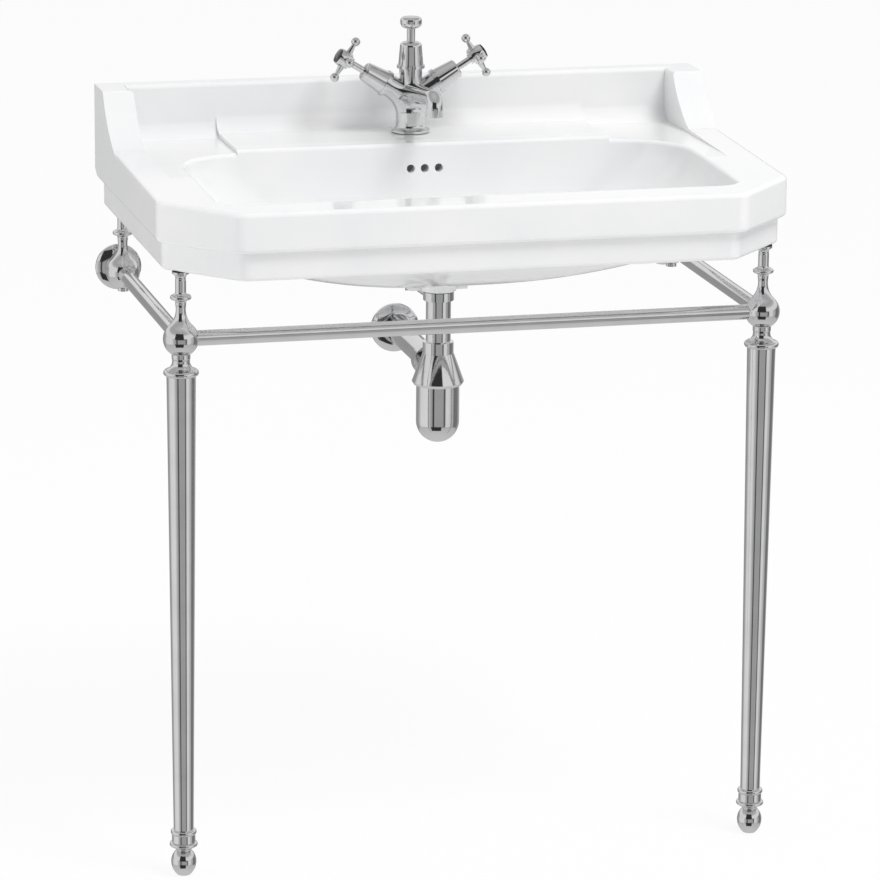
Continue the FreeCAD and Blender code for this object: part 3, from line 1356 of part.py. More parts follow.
def tap_fixing():
    """The stud, horseshoe washer and nut that clamp the tap to the ledge from below."""
    stud_y = depth("tap_axis_depth - fixing_stud_setback")
    stud_top = "(rim_back_top + tap_seal_thickness + fixing_stud_socket)"
    stud = rod("fixing_stud_rod", "fixing_stud_radius", f"{stud_top} - fixing_stud_bottom", y=stud_y,
               z="fixing_stud_bottom")
    washer_bottom = "(cavity_top - horseshoe_thickness)"
    slot_width = "horseshoe_radius + overrun + fixing_stud_setback - fixing_stud_radius - horseshoe_web"
    washer = cut(
        "horseshoe",
        rod("horseshoe_disc", "horseshoe_radius", "horseshoe_thickness",
            y=depth("tap_axis_depth"), z=washer_bottom),
        block("horseshoe_slot", "2 * horseshoe_slot_half", slot_width, "horseshoe_thickness",
              x="-horseshoe_slot_half", y=depth("tap_axis_depth + horseshoe_radius + overrun"),
              z=washer_bottom),
        rod("horseshoe_hole", "fixing_stud_radius + fit_gap", "horseshoe_thickness",
            y=stud_y, z=washer_bottom),
    )
    nut = document.addObject("PartDesign::Body", "fixing_nut_body")
    outlines = [hexagon("fixing_nut_radius"), circle_outline("fixing_stud_radius + fit_gap", "0", "0")]
    sketch = sketch_in(nut, "fixing_nut_plan", "XY_Plane", outlines)
    extrude(nut, "Pad", "fixing_nut_pad", sketch, "fixing_nut_height")
    node("fixing_stud", stud)
    node("horseshoe_washer", washer)
    node("fixing_nut", place(nut, y=stud_y, z=f"{washer_bottom} - fixing_nut_height"))


def hexagon(radius):
    """A six-sided outline by the radius of its corners."""
    half = f"{radius} / 2"
    tall = f"{radius} * sqrt(3) / 2"
    return [
        (radius, "0"),
        (half, tall),
        (f"-{half}", tall),
        (f"-{radius}", "0"),
        (f"-{half}", f"-{tall}"),
        (half, f"-{tall}"),
    ]


def tap():
    """The basin mixer with its valves, lift knob and fixing."""
    seal_radius = "tap_flange_radius - tap_seal_inset"
    seal = tube("tap_seal_ring", seal_radius, "tap_hole_radius", "0", "tap_seal_thickness")
    node("tap_seal", place(seal, **ON_TAP))
    node("tap_body", tap_body())
    outlet()
    valves()
    node("centre_bell", place(centre_bell(), **ON_TAP))
    node("lift_knob", place(lift_knob(), **ON_TAP))
    rod_length = f"rim_back_top + {KNOB_BOTTOM} + knob_socket_depth - lift_rod_bottom"
    bar = rod("lift_rod_bar", "lift_rod_radius", rod_length, y=depth("tap_axis_depth"), z="lift_rod_bottom")
    node("lift_rod", bar)
    tap_fixing()


def waste_flange():
    """The dished flange in the bowl, with its spigot and the overflow slot in it."""
    top = f"({FLANGE_UNDERSIDE} + flange_thickness)"
    spigot_bottom = f"({FLANGE_UNDERSIDE} - spigot_length)"
    flange = turned("waste_flange_turning", [
        (SPIGOT_BORE, DISH_LEVEL),
        ("plug_radius + plug_margin", DISH_LEVEL),
        ("plug_radius + plug_margin + flange_dish", top),
        ("flange_radius - flange_edge_round", top, QUARTER_ROUND_SHARE),
        ("flange_radius", f"{top} - flange_edge_round"),
        ("flange_radius", FLANGE_UNDERSIDE),
        (SPIGOT_RADIUS, FLANGE_UNDERSIDE),
        (SPIGOT_RADIUS, spigot_bottom),
        (SPIGOT_BORE, spigot_bottom),
    ])
    return cut("waste_flange", place(flange, **ON_WASTE), overflow_slot("flange_slot"))


def overflow_slot(name):
    """The opening towards the overflow channel."""
    return block(name, "2 * overflow_slot_half", "waste_tube_radius + overrun", "duct_mouth",
                 x="-overflow_slot_half", y=depth("drain_depth"), z="duct_floor")


def waste_tube():
    """The tailpiece under the basin, open to the overflow and to the pivot lever."""
    inner = "waste_tube_radius - waste_tube_wall"
    tailpiece = tube("waste_tailpiece", "waste_tube_radius", inner, "waste_tube_bottom", "waste_tube_top")
    lever_way = rod("tube_lever_way", "port_way_radius", "waste_tube_radius + overrun", **ON_PIVOT_LINE)
    return cut("waste_tube", place(tailpiece, **ON_WASTE), overflow_slot("tube_slot"), lever_way)


def plug():
    """The domed plug, its guide fins in the spigot and the eye that the lever passes through."""
    underside = f"({PLUG_SEAT} + plug_seal_height)"
    eye_height = f"(pivot_height + pivot_offset * {LEVER_SLOPE})"
    stem_bottom = f"{eye_height} - plug_stem_below"
    stem = turned("plug_turning", [
        ("0", f"{underside} + plug_edge + plug_crown", tangent_radius("plug_crown", "plug_radius")),
        ("plug_radius", f"{underside} + plug_edge"),
        ("plug_radius", underside),
        ("plug_stem_radius", underside),
        ("plug_stem_radius", stem_bottom),
        ("0", stem_bottom),
    ])
    reach = f"({SPIGOT_BORE} - plug_fin_clearance)"
    fin_bottom = f"{PLUG_SEAT} - plug_fin_drop - plug_fin_height"
    middle = depth("drain_depth")
    fins = [
        block("plug_fins_across", f"2 * {reach}", "plug_fin_thickness", "plug_fin_height", x=f"-{reach}",
              y=f"{middle} - plug_fin_thickness / 2", z=fin_bottom),
        block("plug_fins_along", "plug_fin_thickness", f"2 * {reach}", "plug_fin_height",
              x="-plug_fin_thickness / 2", y=f"{middle} - {reach}", z=fin_bottom),
    ]
    eye = rod("plug_eye", "lever_hole_radius", "2 * (plug_stem_radius + overrun)",
              y=depth("drain_depth - plug_stem_radius - overrun"), z=eye_height, turn=TOWARDS_FRONT)
    return cut("plug", joined("plug_blank", place(stem, **ON_WASTE), *fins), eye)


def pivot_port():
    """The nipple on the waste tube that holds the lever's ball."""
    socket = "(pivot_ball_radius + running_gap)"
    socket_start = "pivot_offset - port_socket_back"
    nipple = turned("pivot_port_turning", [
        ("port_way_radius", "0"),
        ("port_radius", "0"),
        ("port_radius", "port_reach"),
        (socket, "port_reach"),
        (socket, socket_start),
        ("port_way_radius", socket_start),
    ])
    saddle = rod("port_saddle", "waste_tube_radius + fit_gap", "2 * (port_radius + overrun)", **ON_WASTE,
                 z="pivot_height - port_radius - overrun")
    return cut("pivot_port", place(nipple, **ON_PIVOT_LINE), saddle)


def pivot_nut():
    """The cap nut that keeps the lever's ball in the port."""
    thread = "(port_radius + fit_gap)"
    start = "port_reach + pivot_nut_lip - pivot_nut_length"
    end = "port_reach + pivot_nut_lip"
    return turned("pivot_nut_turning", [
        (thread, start),
        ("pivot_nut_radius", start),
        ("pivot_nut_radius", end),
        ("pivot_nut_hole", end),
        ("pivot_nut_hole", "port_reach"),
        (thread, "port_reach"),
    ])


def pivot_lever():
    """The rod through the ball, from the plug's eye to the strap on the lift rod."""
    inner_end = "-pivot_offset - lever_tail"
    outer_end = f"{LEVER_ARM} + lever_overhang"
    ball_side = "sqrt(pivot_ball_radius ^ 2 - lever_radius ^ 2)"
    lever = turned("pivot_lever_turning", [
        ("0", outer_end),
        ("lever_radius", outer_end),
        ("lever_radius", ball_side, "pivot_ball_radius"),
        ("lever_radius", f"-{ball_side}"),
        ("lever_radius", inner_end),
        ("0", inner_end),
    ])
    tilt = (FreeCAD.Vector(-1, 0, 0), f"{QUARTER_TURN} + lever_rest_tilt")
    return place(lever, y=depth("drain_depth - pivot_offset"), z="pivot_height", turn=tilt)


def rod_strap():
    """The strap clamped to the lift rod, with a hole for the lever."""
    lever_level = f"(pivot_height - {LEVER_ARM} * {LEVER_SLOPE})"
    strap_bottom = f"({lever_level} - strap_below)"
    front = "(tap_axis_depth + strap_offset + strap_thickness / 2)"
    clamp_bottom = "(clamp_top - clamp_height)"
    across = {"x": "-strap_half_width"}
    plate_height = f"clamp_top - {strap_bottom}"
    plate = block("strap_plate", "2 * strap_half_width", "strap_thickness", plate_height, **across,
                  y=depth(front), z=strap_bottom)
    clamp_width = "strap_offset - strap_thickness / 2 + clamp_back"
    clamp = block("strap_clamp", "2 * strap_half_width", clamp_width, "clamp_height", **across,
                  y=depth(f"{front} - strap_thickness"), z=clamp_bottom)
    return cut(
        "rod_strap",
        joined("strap_blank", plate, clamp),
        rod("strap_rod_hole", "lift_rod_radius + fit_gap", "clamp_height",
            y=depth("tap_axis_depth"), z=clamp_bottom),
        rod("strap_lever_hole", "lever_hole_radius", "strap_thickness", y=depth(f"{front} - strap_thickness"),
            z=lever_level, turn=TOWARDS_FRONT),
        rod("strap_screw_hole", "clamp_screw_radius + fit_gap", "strap_offset + strap_thickness",
            y=depth("tap_axis_depth"), z="clamp_top - clamp_height / 2", turn=TOWARDS_FRONT),
    )


def clamp_screw():
    """The thumb screw that pinches the lift rod in the strap's clamp."""
    head_start = "(strap_offset + strap_thickness / 2 - lift_rod_radius)"
    head_end = f"{head_start} + clamp_screw_head_height"
    screw = turned("clamp_screw_turning", [
        ("0", head_end),
        ("clamp_screw_head_radius", head_end),
        ("clamp_screw_head_radius", head_start),
        ("clamp_screw_radius", head_start),
        ("clamp_screw_radius", "0"),
        ("0", "0"),
    ])
    tip = depth("tap_axis_depth + lift_rod_radius")
    return place(screw, y=tip, z="clamp_top - clamp_height / 2", turn=TOWARDS_FRONT)


def waste():
    """The pop-up waste, from the flange in the bowl to the strap on the lift rod."""
    seat = "(bowl_floor - flange_seat_drop)"
    tube_hole = "waste_tube_radius + fit_gap"
    nut_top = "(drain_boss_bottom - body_seal_thickness)"
    plug_seal_top = f"{PLUG_SEAT} + plug_seal_height"
    rings = {
        "flange_seal": ("flange_radius - flange_seal_inset", "drain_hole_radius", seat, FLANGE_UNDERSIDE),
        "body_seal": ("back_nut_radius", tube_hole, nut_top, "drain_boss_bottom"),
        "back_nut": ("back_nut_radius", tube_hole, f"{nut_top} - back_nut_height", nut_top),
        "plug_seal": ("plug_seal_radius", "plug_stem_radius + fit_gap", PLUG_SEAT, plug_seal_top),
    }
    for label, sizes in rings.items():
        node(label, place(tube(f"{label}_ring", *sizes), **ON_WASTE))
    node("waste_flange", waste_flange())
    node("waste_tube", waste_tube())
    node("plug", plug())
    node("pivot_port", pivot_port())
    node("pivot_nut", place(pivot_nut(), **ON_PIVOT_LINE))
    node("pivot_lever", pivot_lever())
    node("rod_strap", rod_strap())
    node("clamp_screw", clamp_screw())


def trap_cone():
    """The trap's head: neck for the waste tube, cone, chamber over the bottle and outlet stub."""
    neck_bore = "(waste_tube_radius + fit_gap)"
    outside = turned("cone_outside", [
        ("0", TRAP_NECK_TOP),
        (TRAP_NECK_RADIUS, TRAP_NECK_TOP),
        (TRAP_NECK_RADIUS, TRAP_NUT_BOTTOM),
        ("cone_top_radius", TRAP_NUT_BOTTOM),
        ("cone_radius", f"{CONE_BOTTOM} + cone_edge"),
        ("bottle_radius + cone_wall", CONE_BOTTOM),
        ("0", CONE_BOTTOM),
    ])
    stub = rod("outlet_stub", "outlet_stub_radius", "outlet_stub_reach", **ON_OUTLET_LINE)
    inside = turned("cone_inside", [
        ("0", f"{TRAP_NECK_TOP} + overrun"),
        (neck_bore, f"{TRAP_NECK_TOP} + overrun"),
        (neck_bore, TRAP_LEDGE),
        ("dip_tube_radius + fit_gap", TRAP_LEDGE),
        ("dip_tube_radius + fit_gap", f"{TRAP_LEDGE} - cone_ledge"),
        ("cone_top_radius", f"{TRAP_LEDGE} - cone_ledge"),
        ("bottle_radius - bottle_wall", BOTTLE_TOP),
        ("bottle_radius + fit_gap", BOTTLE_TOP),
        ("bottle_radius + fit_gap", f"{CONE_BOTTOM} - overrun"),
        ("0", f"{CONE_BOTTOM} - overrun"),
    ])
    way = rod("stub_way", "outlet_way_radius", "outlet_stub_reach", **ON_OUTLET_LINE)
    pipe_start = depth("drain_depth - outlet_stub_reach + outlet_pipe_insert")
    pipe_socket = rod("stub_socket", "outlet_pipe_radius + fit_gap", "outlet_pipe_insert + overrun",
                      y=pipe_start, z="outlet_height", turn=TOWARDS_WALL)
    blank = joined("cone_blank", place(outside, **ON_WASTE), stub)
    return cut("trap_cone", blank, place(inside, **ON_WASTE), way, pipe_socket)


def trap_nut():
    """The nut that squeezes the seal round the waste tube."""
    thread = f"({TRAP_NECK_RADIUS} + fit_gap)"
    lip_bottom = f"({TRAP_NECK_TOP} + trap_seal_height)"
    return turned("trap_nut_turning", [
        ("waste_tube_radius + fit_gap", f"{lip_bottom} + trap_nut_lip"),
        ("trap_nut_radius", f"{lip_bottom} + trap_nut_lip"),
        ("trap_nut_radius", TRAP_NUT_BOTTOM),
        (thread, TRAP_NUT_BOTTOM),
        (thread, lip_bottom),
        ("waste_tube_radius + fit_gap", lip_bottom),
    ])


def trap_bottle():
    """The round-bottomed bottle that holds the water seal."""
    inner = "(bottle_radius - bottle_wall)"
    curve_level = "bottle_bottom + bottle_radius"
    return turned("trap_bottle_turning", [
        (inner, BOTTLE_TOP),
        ("bottle_radius", BOTTLE_TOP),
        ("bottle_radius", curve_level, QUARTER_ROUND_SHARE),
        ("0", "bottle_bottom"),
        ("0", "bottle_bottom + bottle_wall", -QUARTER_ROUND_SHARE),
        (inner, curve_level),
    ])


def dip_tube():
    """The tube that leads the water down into the bottle, hung by its lip."""
    inner = "dip_tube_radius - dip_tube_wall"
    return turned("dip_tube_turning", [
        (inner, "waste_tube_bottom"),
        ("waste_tube_radius", "waste_tube_bottom"),
        ("waste_tube_radius", TRAP_LEDGE),
        ("dip_tube_radius", TRAP_LEDGE),
        ("dip_tube_radius", "dip_tube_bottom"),
        (inner, "dip_tube_bottom"),
    ])


def union_nut():
    """The nut that holds the outlet pipe in the trap's stub."""
    thread = "(outlet_stub_radius + fit_gap)"
    hole = "(outlet_pipe_radius + fit_gap)"
    start = "outlet_stub_reach + union_nut_lip - union_nut_length"
    end = "outlet_stub_reach + union_nut_lip"
    return turned("union_nut_turning", [
        (thread, start),
        ("union_nut_radius", start),
        ("union_nut_radius", end),
        (hole, end),
        (hole, "outlet_stub_reach"),
        (thread, "outlet_stub_reach"),
    ])


def trap():
    """The bottle trap and its pipe into the wall."""
    seal = tube("trap_seal_ring", TRAP_NECK_RADIUS, "waste_tube_radius + fit_gap", TRAP_NECK_TOP,
                f"{TRAP_NECK_TOP} + trap_seal_height")
    node("trap_seal", place(seal, **ON_WASTE))
    node("trap_nut", place(trap_nut(), **ON_WASTE))
    node("trap_cone", trap_cone())
    node("dip_tube", place(dip_tube(), **ON_WASTE))
    node("trap_bottle", place(trap_bottle(), **ON_WASTE))
    node("union_nut", place(union_nut(), **ON_OUTLET_LINE))
    pipe = tube("outlet_pipe_tube", "outlet_pipe_radius", "outlet_pipe_radius - outlet_pipe_wall",
                "outlet_stub_reach - outlet_pipe_insert", "drain_depth")
    node("outlet_pipe", place(pipe, **ON_OUTLET_LINE))
    plate = rosette("outlet_rosette_turning", "outlet_rosette", "(outlet_pipe_radius + fit_gap)")
    node("outlet_rosette", place(plate, y=depth("0"), z="outlet_height", turn=TOWARDS_FRONT))


def check_and_write():
    """Stops if anything failed to build, then writes each sub-part to its own file."""
    document.recompute()
    for thing in document.Objects:
        if "Invalid" in thing.State or "Error" in thing.State:
            raise RuntimeError(f"{thing.Name} failed: {thing.State}")
    for thing in nodes:
        if thing.Shape.isNull() or not thing.Shape.isValid() or not thing.Shape.Solids:
            raise RuntimeError(f"{thing.Label} has no valid solid")
    os.makedirs("parts", exist_ok=True)
    for thing in nodes:
        thing.Shape.exportStep(f"parts/{thing.Label}.step")


fill_sheet()
node("basin", basin())
stand()
tap()
waste()
trap()
check_and_write()
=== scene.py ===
import json
import math

import bpy
from mathutils import Matrix, Vector

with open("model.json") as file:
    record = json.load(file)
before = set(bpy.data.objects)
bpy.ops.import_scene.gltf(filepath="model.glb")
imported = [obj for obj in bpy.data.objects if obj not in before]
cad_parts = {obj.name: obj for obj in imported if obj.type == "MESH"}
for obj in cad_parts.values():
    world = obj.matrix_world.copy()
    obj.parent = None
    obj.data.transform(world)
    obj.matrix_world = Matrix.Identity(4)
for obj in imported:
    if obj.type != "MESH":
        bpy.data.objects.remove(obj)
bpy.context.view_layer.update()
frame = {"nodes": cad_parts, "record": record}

# The finish slot of each CAD node, as the record gives it.
SLOT_OF_NODE = {entry["node"]: entry["material_slot"] for entry in frame["record"]["subparts"]}

# Camera of the photograph, in metres and degrees, found from the basin's and stand's corners.
CAMERA_PLACE = (-1.425, -5.642, 1.978)
CAMERA_YAW = 14.158
CAMERA_PITCH = 14.263
CAMERA_ROLL = 0.485

# Sensor and lens of that camera, in millimetres.
SENSOR_WIDTH = 36.0
FOCAL_LENGTH = 191.86

# Lamps, in metres and watts. Both face one point, a little below the basin's rim.
LAMP_AIM = (0.0, 0.0, 0.75)
LAMP_SIZE = 2.5
KEY_PLACE = (2.2, -2.7, 6.1)
KEY_POWER = 205.0
FILL_PLACE = (-4.0, 0.4, 0.6)
FILL_POWER = 36.0

# Floor: its width in metres, and the tints, stops and scale of its faint mottle. The camera sees the white
# share as plain white, and the rest as the lit floor with the object's shadow.
FLOOR_SIZE = 60.0
FLOOR_DARK = (0.92, 0.92, 0.92)
FLOOR_LIGHT = (0.94, 0.94, 0.94)
FLOOR_STOPS = (0.3, 0.7)
FLOOR_GRAIN = 0.6
FLOOR_WHITE_SHARE = 0.9

# World: what the camera sees, what lights the surfaces, and the studio's darkest part. At full strength a
# colour shines as it is.
FULL_STRENGTH = 1.0
WHITE = (1.0, 1.0, 1.0, 1.0)
SOFT_LIGHT = (0.66, 0.66, 0.665, 1.0)
DARK_FRONT = (0.04, 0.04, 0.04, 1.0)

# Finishes: the noise's octaves and the range that most of it lies in, the stops of the tint, how much broader
# the tint's noise is than the surface's, the roughness of a clear coat and the height of a bump in metres.
NOISE_DETAIL = 4.0
NOISE_LOW = 0.3
NOISE_HIGH = 0.7
TINT_STOPS = (0.35, 0.65)
BROAD_PER_FINE = 8
COAT_ROUGHNESS = 0.04
BUMP_HEIGHT = 0.0004

# A Mix node has a row of sockets for each kind of value. These are its two colours and their result.
MIX_FIRST_COLOUR = 6
MIX_SECOND_COLOUR = 7
MIX_COLOUR_RESULT = 2

# The studio in reflections, as pairs of an angle or a height with its grey level or share. Angles are in
# degrees, from -180 behind on the left through the camera at 0 to 180 behind on the right. Heights run from
# -1 straight down to 1 straight up. On a ramp, which runs from 0 to 1, zero lies in the middle.
FULL_TURN = 360.0
HEIGHT_SPAN = 2.0
RAMP_MIDDLE = 0.5
SIDE_LEVELS = (
    (-180, 0.35), (-130, 0.4), (-115, 0.55), (-100, 0.9), (-58, 0.95), (-40, 0.55), (-28, 0.4),
    (-25, 0.05), (-19, 0.05), (34, 0.12), (40, 0.15), (46, 0.9), (64, 0.9), (75, 0.65), (90, 0.55),
    (98, 0.22), (130, 0.25), (145, 0.5), (180, 0.35),
)
FRONT_LEVELS = ((0.02, 0.45), (0.08, 0.1))
FRONT_ANGLES = ((-19, 0.0), (-16, 1.0), (31, 1.0), (34, 0.0))
OVER_AND_UNDER_LEVELS = (
    (-1.0, 0.75), (-0.5, 0.65), (-0.4, 0.4), (0.1, 0.92), (0.45, 0.92), (0.6, 0.55), (0.8, 0.5),
    (1.0, 0.65),
)
OVER_AND_UNDER_HEIGHTS = ((-0.48, 1.0), (-0.4, 0.0), (0.1, 0.0), (0.18, 1.0))
UNLIT_ANGLES = ((-38, 0.0), (-35, 1.0), (22, 1.0), (25, 0.0))
UNLIT_HEIGHTS = (
    (-0.74, 0.0), (-0.7, 1.0), (-0.42, 1.0), (-0.38, 0.0), (0.06, 0.0), (0.1, 1.0), (0.66, 1.0),
    (0.7, 0.0),
)


class Shader:
    """A material or world node tree that is wired by short calls."""

    def __init__(self, tree):
        self.tree = tree

    def add(self, kind, settings=None, **inputs):
        """Adds a node, sets its properties and fills or links its inputs by name."""
        made = self.tree.nodes.new(kind)
        for name, setting in (settings or {}).items():
            setattr(made, name, setting)
        for name, source in inputs.items():
            self.feed(made.inputs[name.replace("_", " ")], source)
        return made

    def feed(self, socket, source):
        """Links a socket to an output, or gives it a constant."""
        if isinstance(source, bpy.types.NodeSocket):
            self.tree.links.new(source, socket)
        else:
            socket.default_value = source

    def calculate(self, operation, first, second):
        """The result of one arithmetic step."""
        made = self.tree.nodes.new("ShaderNodeMath")
        made.operation = operation
        self.feed(made.inputs[0], first)
        self.feed(made.inputs[1], second)
        return made.outputs[0]

    def ramp(self, source, stops):
        """A grey or coloured ramp with stops of (position, colour)."""
        made = self.tree.nodes.new("ShaderNodeValToRGB")
        band = made.color_ramp
        while len(band.elements) < len(stops):
            band.elements.new(1.0)
        for element, (position, colour) in zip(band.elements, stops):
            element.position = position
            element.color = (*colour, 1.0) if isinstance(colour, tuple) else (colour, colour, colour, 1.0)
        self.feed(made.inputs[0], source)
        return made.outputs[0]

    def noise(self, where, scale):
        """Fractal noise over a place, between 0 and 1."""
        return self.add("ShaderNodeTexNoise", Vector=where, Scale=scale, Detail=NOISE_DETAIL).outputs["Fac"]

    def spread(self, source, low, high):
        """Noise spread over a range of values."""
        made = self.add(
            "ShaderNodeMapRange",
            Value=source, From_Min=NOISE_LOW, From_Max=NOISE_HIGH, To_Min=low, To_Max=high,
        )
        return made.outputs[0]

    def blend(self, share, first, second):
        """A colour between two others."""
        made = self.add("ShaderNodeMix", {"data_type": "RGBA"}, Factor=share)
        self.feed(made.inputs[MIX_FIRST_COLOUR], first)
        self.feed(made.inputs[MIX_SECOND_COLOUR], second)
        return made.outputs[MIX_COLOUR_RESULT]

    def mix_surfaces(self, share, first, second):
        """A surface between two others."""
        made = self.tree.nodes.new("ShaderNodeMixShader")
        for socket, source in zip(made.inputs, (share, first, second)):
            self.feed(socket, source)
        return made.outputs[0]


def new_material(name):
    """An empty node material with its output."""
    material = bpy.data.materials.new(name)
    material.use_nodes = True
    material.node_tree.nodes.clear()
    shader = Shader(material.node_tree)
    output = shader.add("ShaderNodeOutputMaterial")
    return material, shader, output


def finish(name, dark, light, roughness, grain, bump, metallic=0.0, coat=0.0):
    """A finish whose colour, roughness and surface vary softly from place to place."""
    material, shader, output = new_material(name)
    place = shader.add("ShaderNodeTexCoord").outputs["Object"]
    broad = shader.noise(place, grain / BROAD_PER_FINE)
    fine = shader.noise(place, grain)
    tint = shader.ramp(broad, list(zip(TINT_STOPS, (dark, light))))
    bumps = shader.add("ShaderNodeBump", Strength=bump, Distance=BUMP_HEIGHT, Height=fine)
    surface = shader.add(
        "ShaderNodeBsdfPrincipled",
        Base_Color=tint,
        Metallic=metallic,
        Roughness=shader.spread(fine, *roughness),
        Coat_Weight=coat,
        Coat_Roughness=COAT_ROUGHNESS,
        Normal=bumps.outputs[0],
    )
    shader.feed(output.inputs["Surface"], surface.outputs[0])
    return material


def make_finishes():
    """One material for each slot of the record."""
    return {
        "glaze": finish(
            "white_glaze", (0.86, 0.865, 0.87), (0.9, 0.9, 0.9),
            roughness=(0.06, 0.12), grain=60.0, bump=0.02, coat=0.2,
        ),
        "polished": finish(
            "polished_chrome", (0.64, 0.64, 0.65), (0.68, 0.68, 0.68),
            roughness=(0.04, 0.09), grain=220.0, bump=0.02, metallic=1.0,
        ),
        "bare_brass": finish(
            "turned_brass", (0.5, 0.36, 0.14), (0.66, 0.5, 0.22),
            roughness=(0.22, 0.36), grain=300.0, bump=0.1, metallic=1.0,
        ),
        "plain_steel": finish(
            "plated_steel", (0.42, 0.43, 0.44), (0.55, 0.55, 0.56),
            roughness=(0.25, 0.4), grain=260.0, bump=0.1, metallic=1.0,
        ),
        "soft_seal": finish(
            "black_rubber", (0.02, 0.02, 0.02), (0.045, 0.045, 0.045),
            roughness=(0.55, 0.75), grain=400.0, bump=0.25,
        ),
        # The index caps are made near-black and glossy. This colour is a painted dark reflection: it stands
        # in for the dark part of the studio that a chrome cap reflects.
        "dark_inlay": finish(
            "caps_painted_dark_reflection", (0.012, 0.012, 0.014), (0.03, 0.03, 0.032),
            roughness=(0.08, 0.18), grain=300.0, bump=0.05, coat=0.6,
        ),
    }


def dress_nodes(finishes):
    """Gives every CAD node the finish of its slot."""
    for name, thing in frame["nodes"].items():
        thing.data.materials.clear()
        thing.data.materials.append(finishes[SLOT_OF_NODE[name]])


def make_floor():
    """A plain pale floor past the picture's edges, which keeps soft shadows and leaves metal its studio."""
    bpy.ops.mesh.primitive_plane_add(size=FLOOR_SIZE)
    floor = bpy.context.active_object
    floor.name = "floor"
    material, shader, output = new_material("pale_floor")
    paths = shader.add("ShaderNodeLightPath").outputs
    place = shader.add("ShaderNodeTexCoord").outputs["Object"]
    mottle = shader.noise(place, FLOOR_GRAIN)
    tint = shader.ramp(mottle, list(zip(FLOOR_STOPS, (FLOOR_DARK, FLOOR_LIGHT))))
    shaded = shader.add("ShaderNodeBsdfDiffuse", Color=tint).outputs[0]
    white = shader.add("ShaderNodeEmission", Color=WHITE, Strength=FULL_STRENGTH).outputs[0]
    clear = shader.add("ShaderNodeBsdfTransparent").outputs[0]
    white_share = shader.calculate("MULTIPLY", paths["Is Camera Ray"], FLOOR_WHITE_SHARE)
    seen = shader.mix_surfaces(white_share, shaded, white)
    surface = shader.mix_surfaces(paths["Is Glossy Ray"], seen, clear)
    shader.feed(output.inputs["Surface"], surface)
    floor.data.materials.append(material)


def by_degrees(stops):
    """Ramp stops for angles around the object."""
    return [(RAMP_MIDDLE + angle / FULL_TURN, level) for angle, level in stops]


def by_height(stops):
    """Ramp stops for heights from straight down to straight up."""
    return [(RAMP_MIDDLE + height / HEIGHT_SPAN, level) for height, level in stops]


def studio_colour(shader):
    """The studio that polished metal reflects: side panels, a dark front and a pale ceiling and floor."""
    direction = shader.add("ShaderNodeTexCoord").outputs["Generated"]
    to_camera = shader.add(
        "ShaderNodeVectorRotate", {"rotation_type": "Z_AXIS"},
        Vector=direction, Angle=math.radians(CAMERA_YAW),
    ).outputs[0]
    parts = shader.add("ShaderNodeSeparateXYZ", Vector=to_camera).outputs
    backwards = shader.calculate("MULTIPLY", parts["Y"], -1.0)
    angle = shader.calculate("ARCTAN2", parts["X"], backwards)
    turn = shader.calculate("DIVIDE", angle, math.radians(FULL_TURN))
    around = shader.calculate("ADD", turn, RAMP_MIDDLE)
    rise = shader.calculate("DIVIDE", parts["Z"], HEIGHT_SPAN)
    height = shader.calculate("ADD", rise, RAMP_MIDDLE)

    sides = shader.ramp(around, by_degrees(SIDE_LEVELS))
    front = shader.ramp(height, by_height(FRONT_LEVELS))
    is_front = shader.ramp(around, by_degrees(FRONT_ANGLES))
    level_view = shader.blend(is_front, sides, front)

    over_and_under = shader.ramp(height, by_height(OVER_AND_UNDER_LEVELS))
    is_over_or_under = shader.ramp(height, by_height(OVER_AND_UNDER_HEIGHTS))
    room = shader.blend(is_over_or_under, level_view, over_and_under)

    behind_camera = shader.ramp(around, by_degrees(UNLIT_ANGLES))
    unlit_height = shader.ramp(height, by_height(UNLIT_HEIGHTS))
    is_unlit = shader.calculate("MULTIPLY", behind_camera, unlit_height)
    return shader.blend(is_unlit, room, DARK_FRONT)


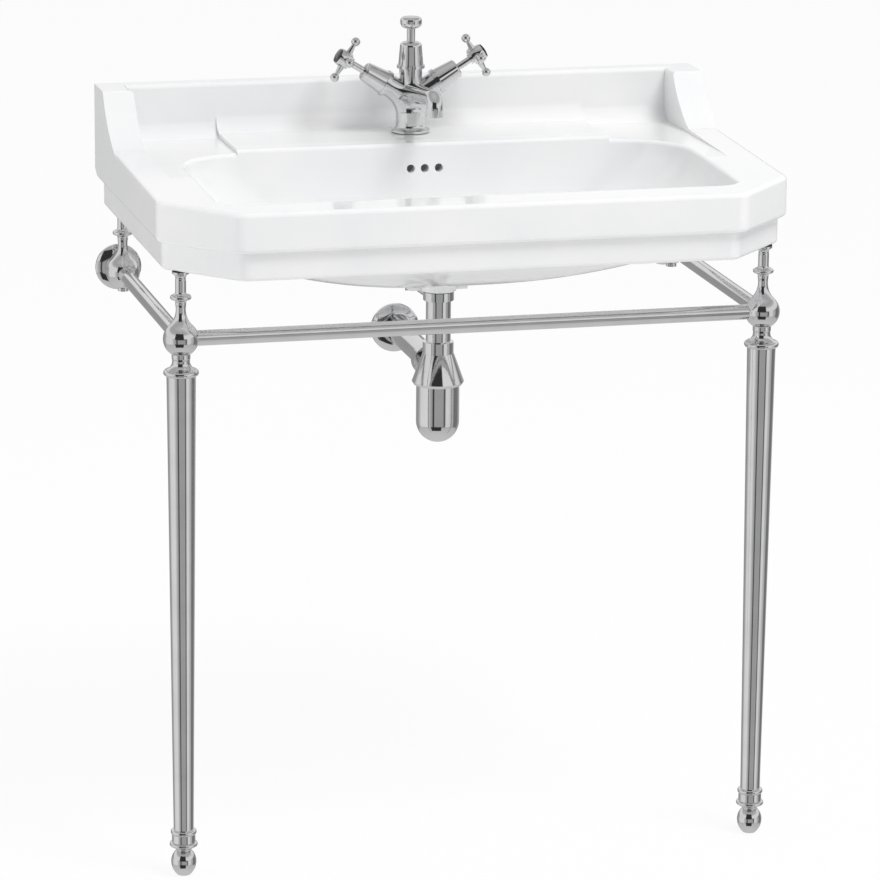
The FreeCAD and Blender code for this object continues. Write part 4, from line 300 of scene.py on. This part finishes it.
def make_world():
    """Even soft light that is white to the camera and shows the studio in reflections."""
    world = bpy.data.worlds.new("studio")
    bpy.context.scene.world = world
    world.use_nodes = True
    world.node_tree.nodes.clear()
    shader = Shader(world.node_tree)
    output = shader.add("ShaderNodeOutputWorld")
    paths = shader.add("ShaderNodeLightPath").outputs
    lit = shader.blend(paths["Is Glossy Ray"], SOFT_LIGHT, studio_colour(shader))
    seen = shader.blend(paths["Is Camera Ray"], lit, WHITE)
    light = shader.add("ShaderNodeBackground", Color=seen, Strength=FULL_STRENGTH)
    shader.feed(output.inputs["Surface"], light.outputs[0])


def add_lamp(name, place, power):
    """A soft square lamp that faces the aim. Reflections show the studio's own panels instead of it."""
    lamp = bpy.data.lights.new(name, "AREA")
    lamp.shape = "SQUARE"
    lamp.size = LAMP_SIZE
    lamp.energy = power
    thing = bpy.data.objects.new(name, lamp)
    bpy.context.collection.objects.link(thing)
    thing.location = place
    thing.rotation_euler = (Vector(LAMP_AIM) - Vector(place)).to_track_quat("-Z", "Y").to_euler()
    thing.visible_glossy = False


def light_scene():
    """A soft key from above, in front on the right, and a low fill from the left."""
    add_lamp("key", KEY_PLACE, KEY_POWER)
    add_lamp("fill", FILL_PLACE, FILL_POWER)


def make_camera():
    """The photograph's camera."""
    camera = bpy.data.cameras.new("camera")
    camera.sensor_width = SENSOR_WIDTH
    camera.lens = FOCAL_LENGTH
    camera.clip_end = 2 * FLOOR_SIZE
    thing = bpy.data.objects.new("camera", camera)
    bpy.context.collection.objects.link(thing)
    turn = Matrix.Rotation(-math.radians(CAMERA_YAW), 4, "Z")
    tilt = Matrix.Rotation(math.pi / 2 - math.radians(CAMERA_PITCH), 4, "X")
    lean = Matrix.Rotation(math.radians(CAMERA_ROLL), 4, "Z")
    thing.matrix_world = Matrix.Translation(CAMERA_PLACE) @ turn @ tilt @ lean
    bpy.context.scene.camera = thing


bpy.context.scene.view_settings.view_transform = "Standard"
dress_nodes(make_finishes())
make_floor()
make_world()
light_scene()
make_camera()
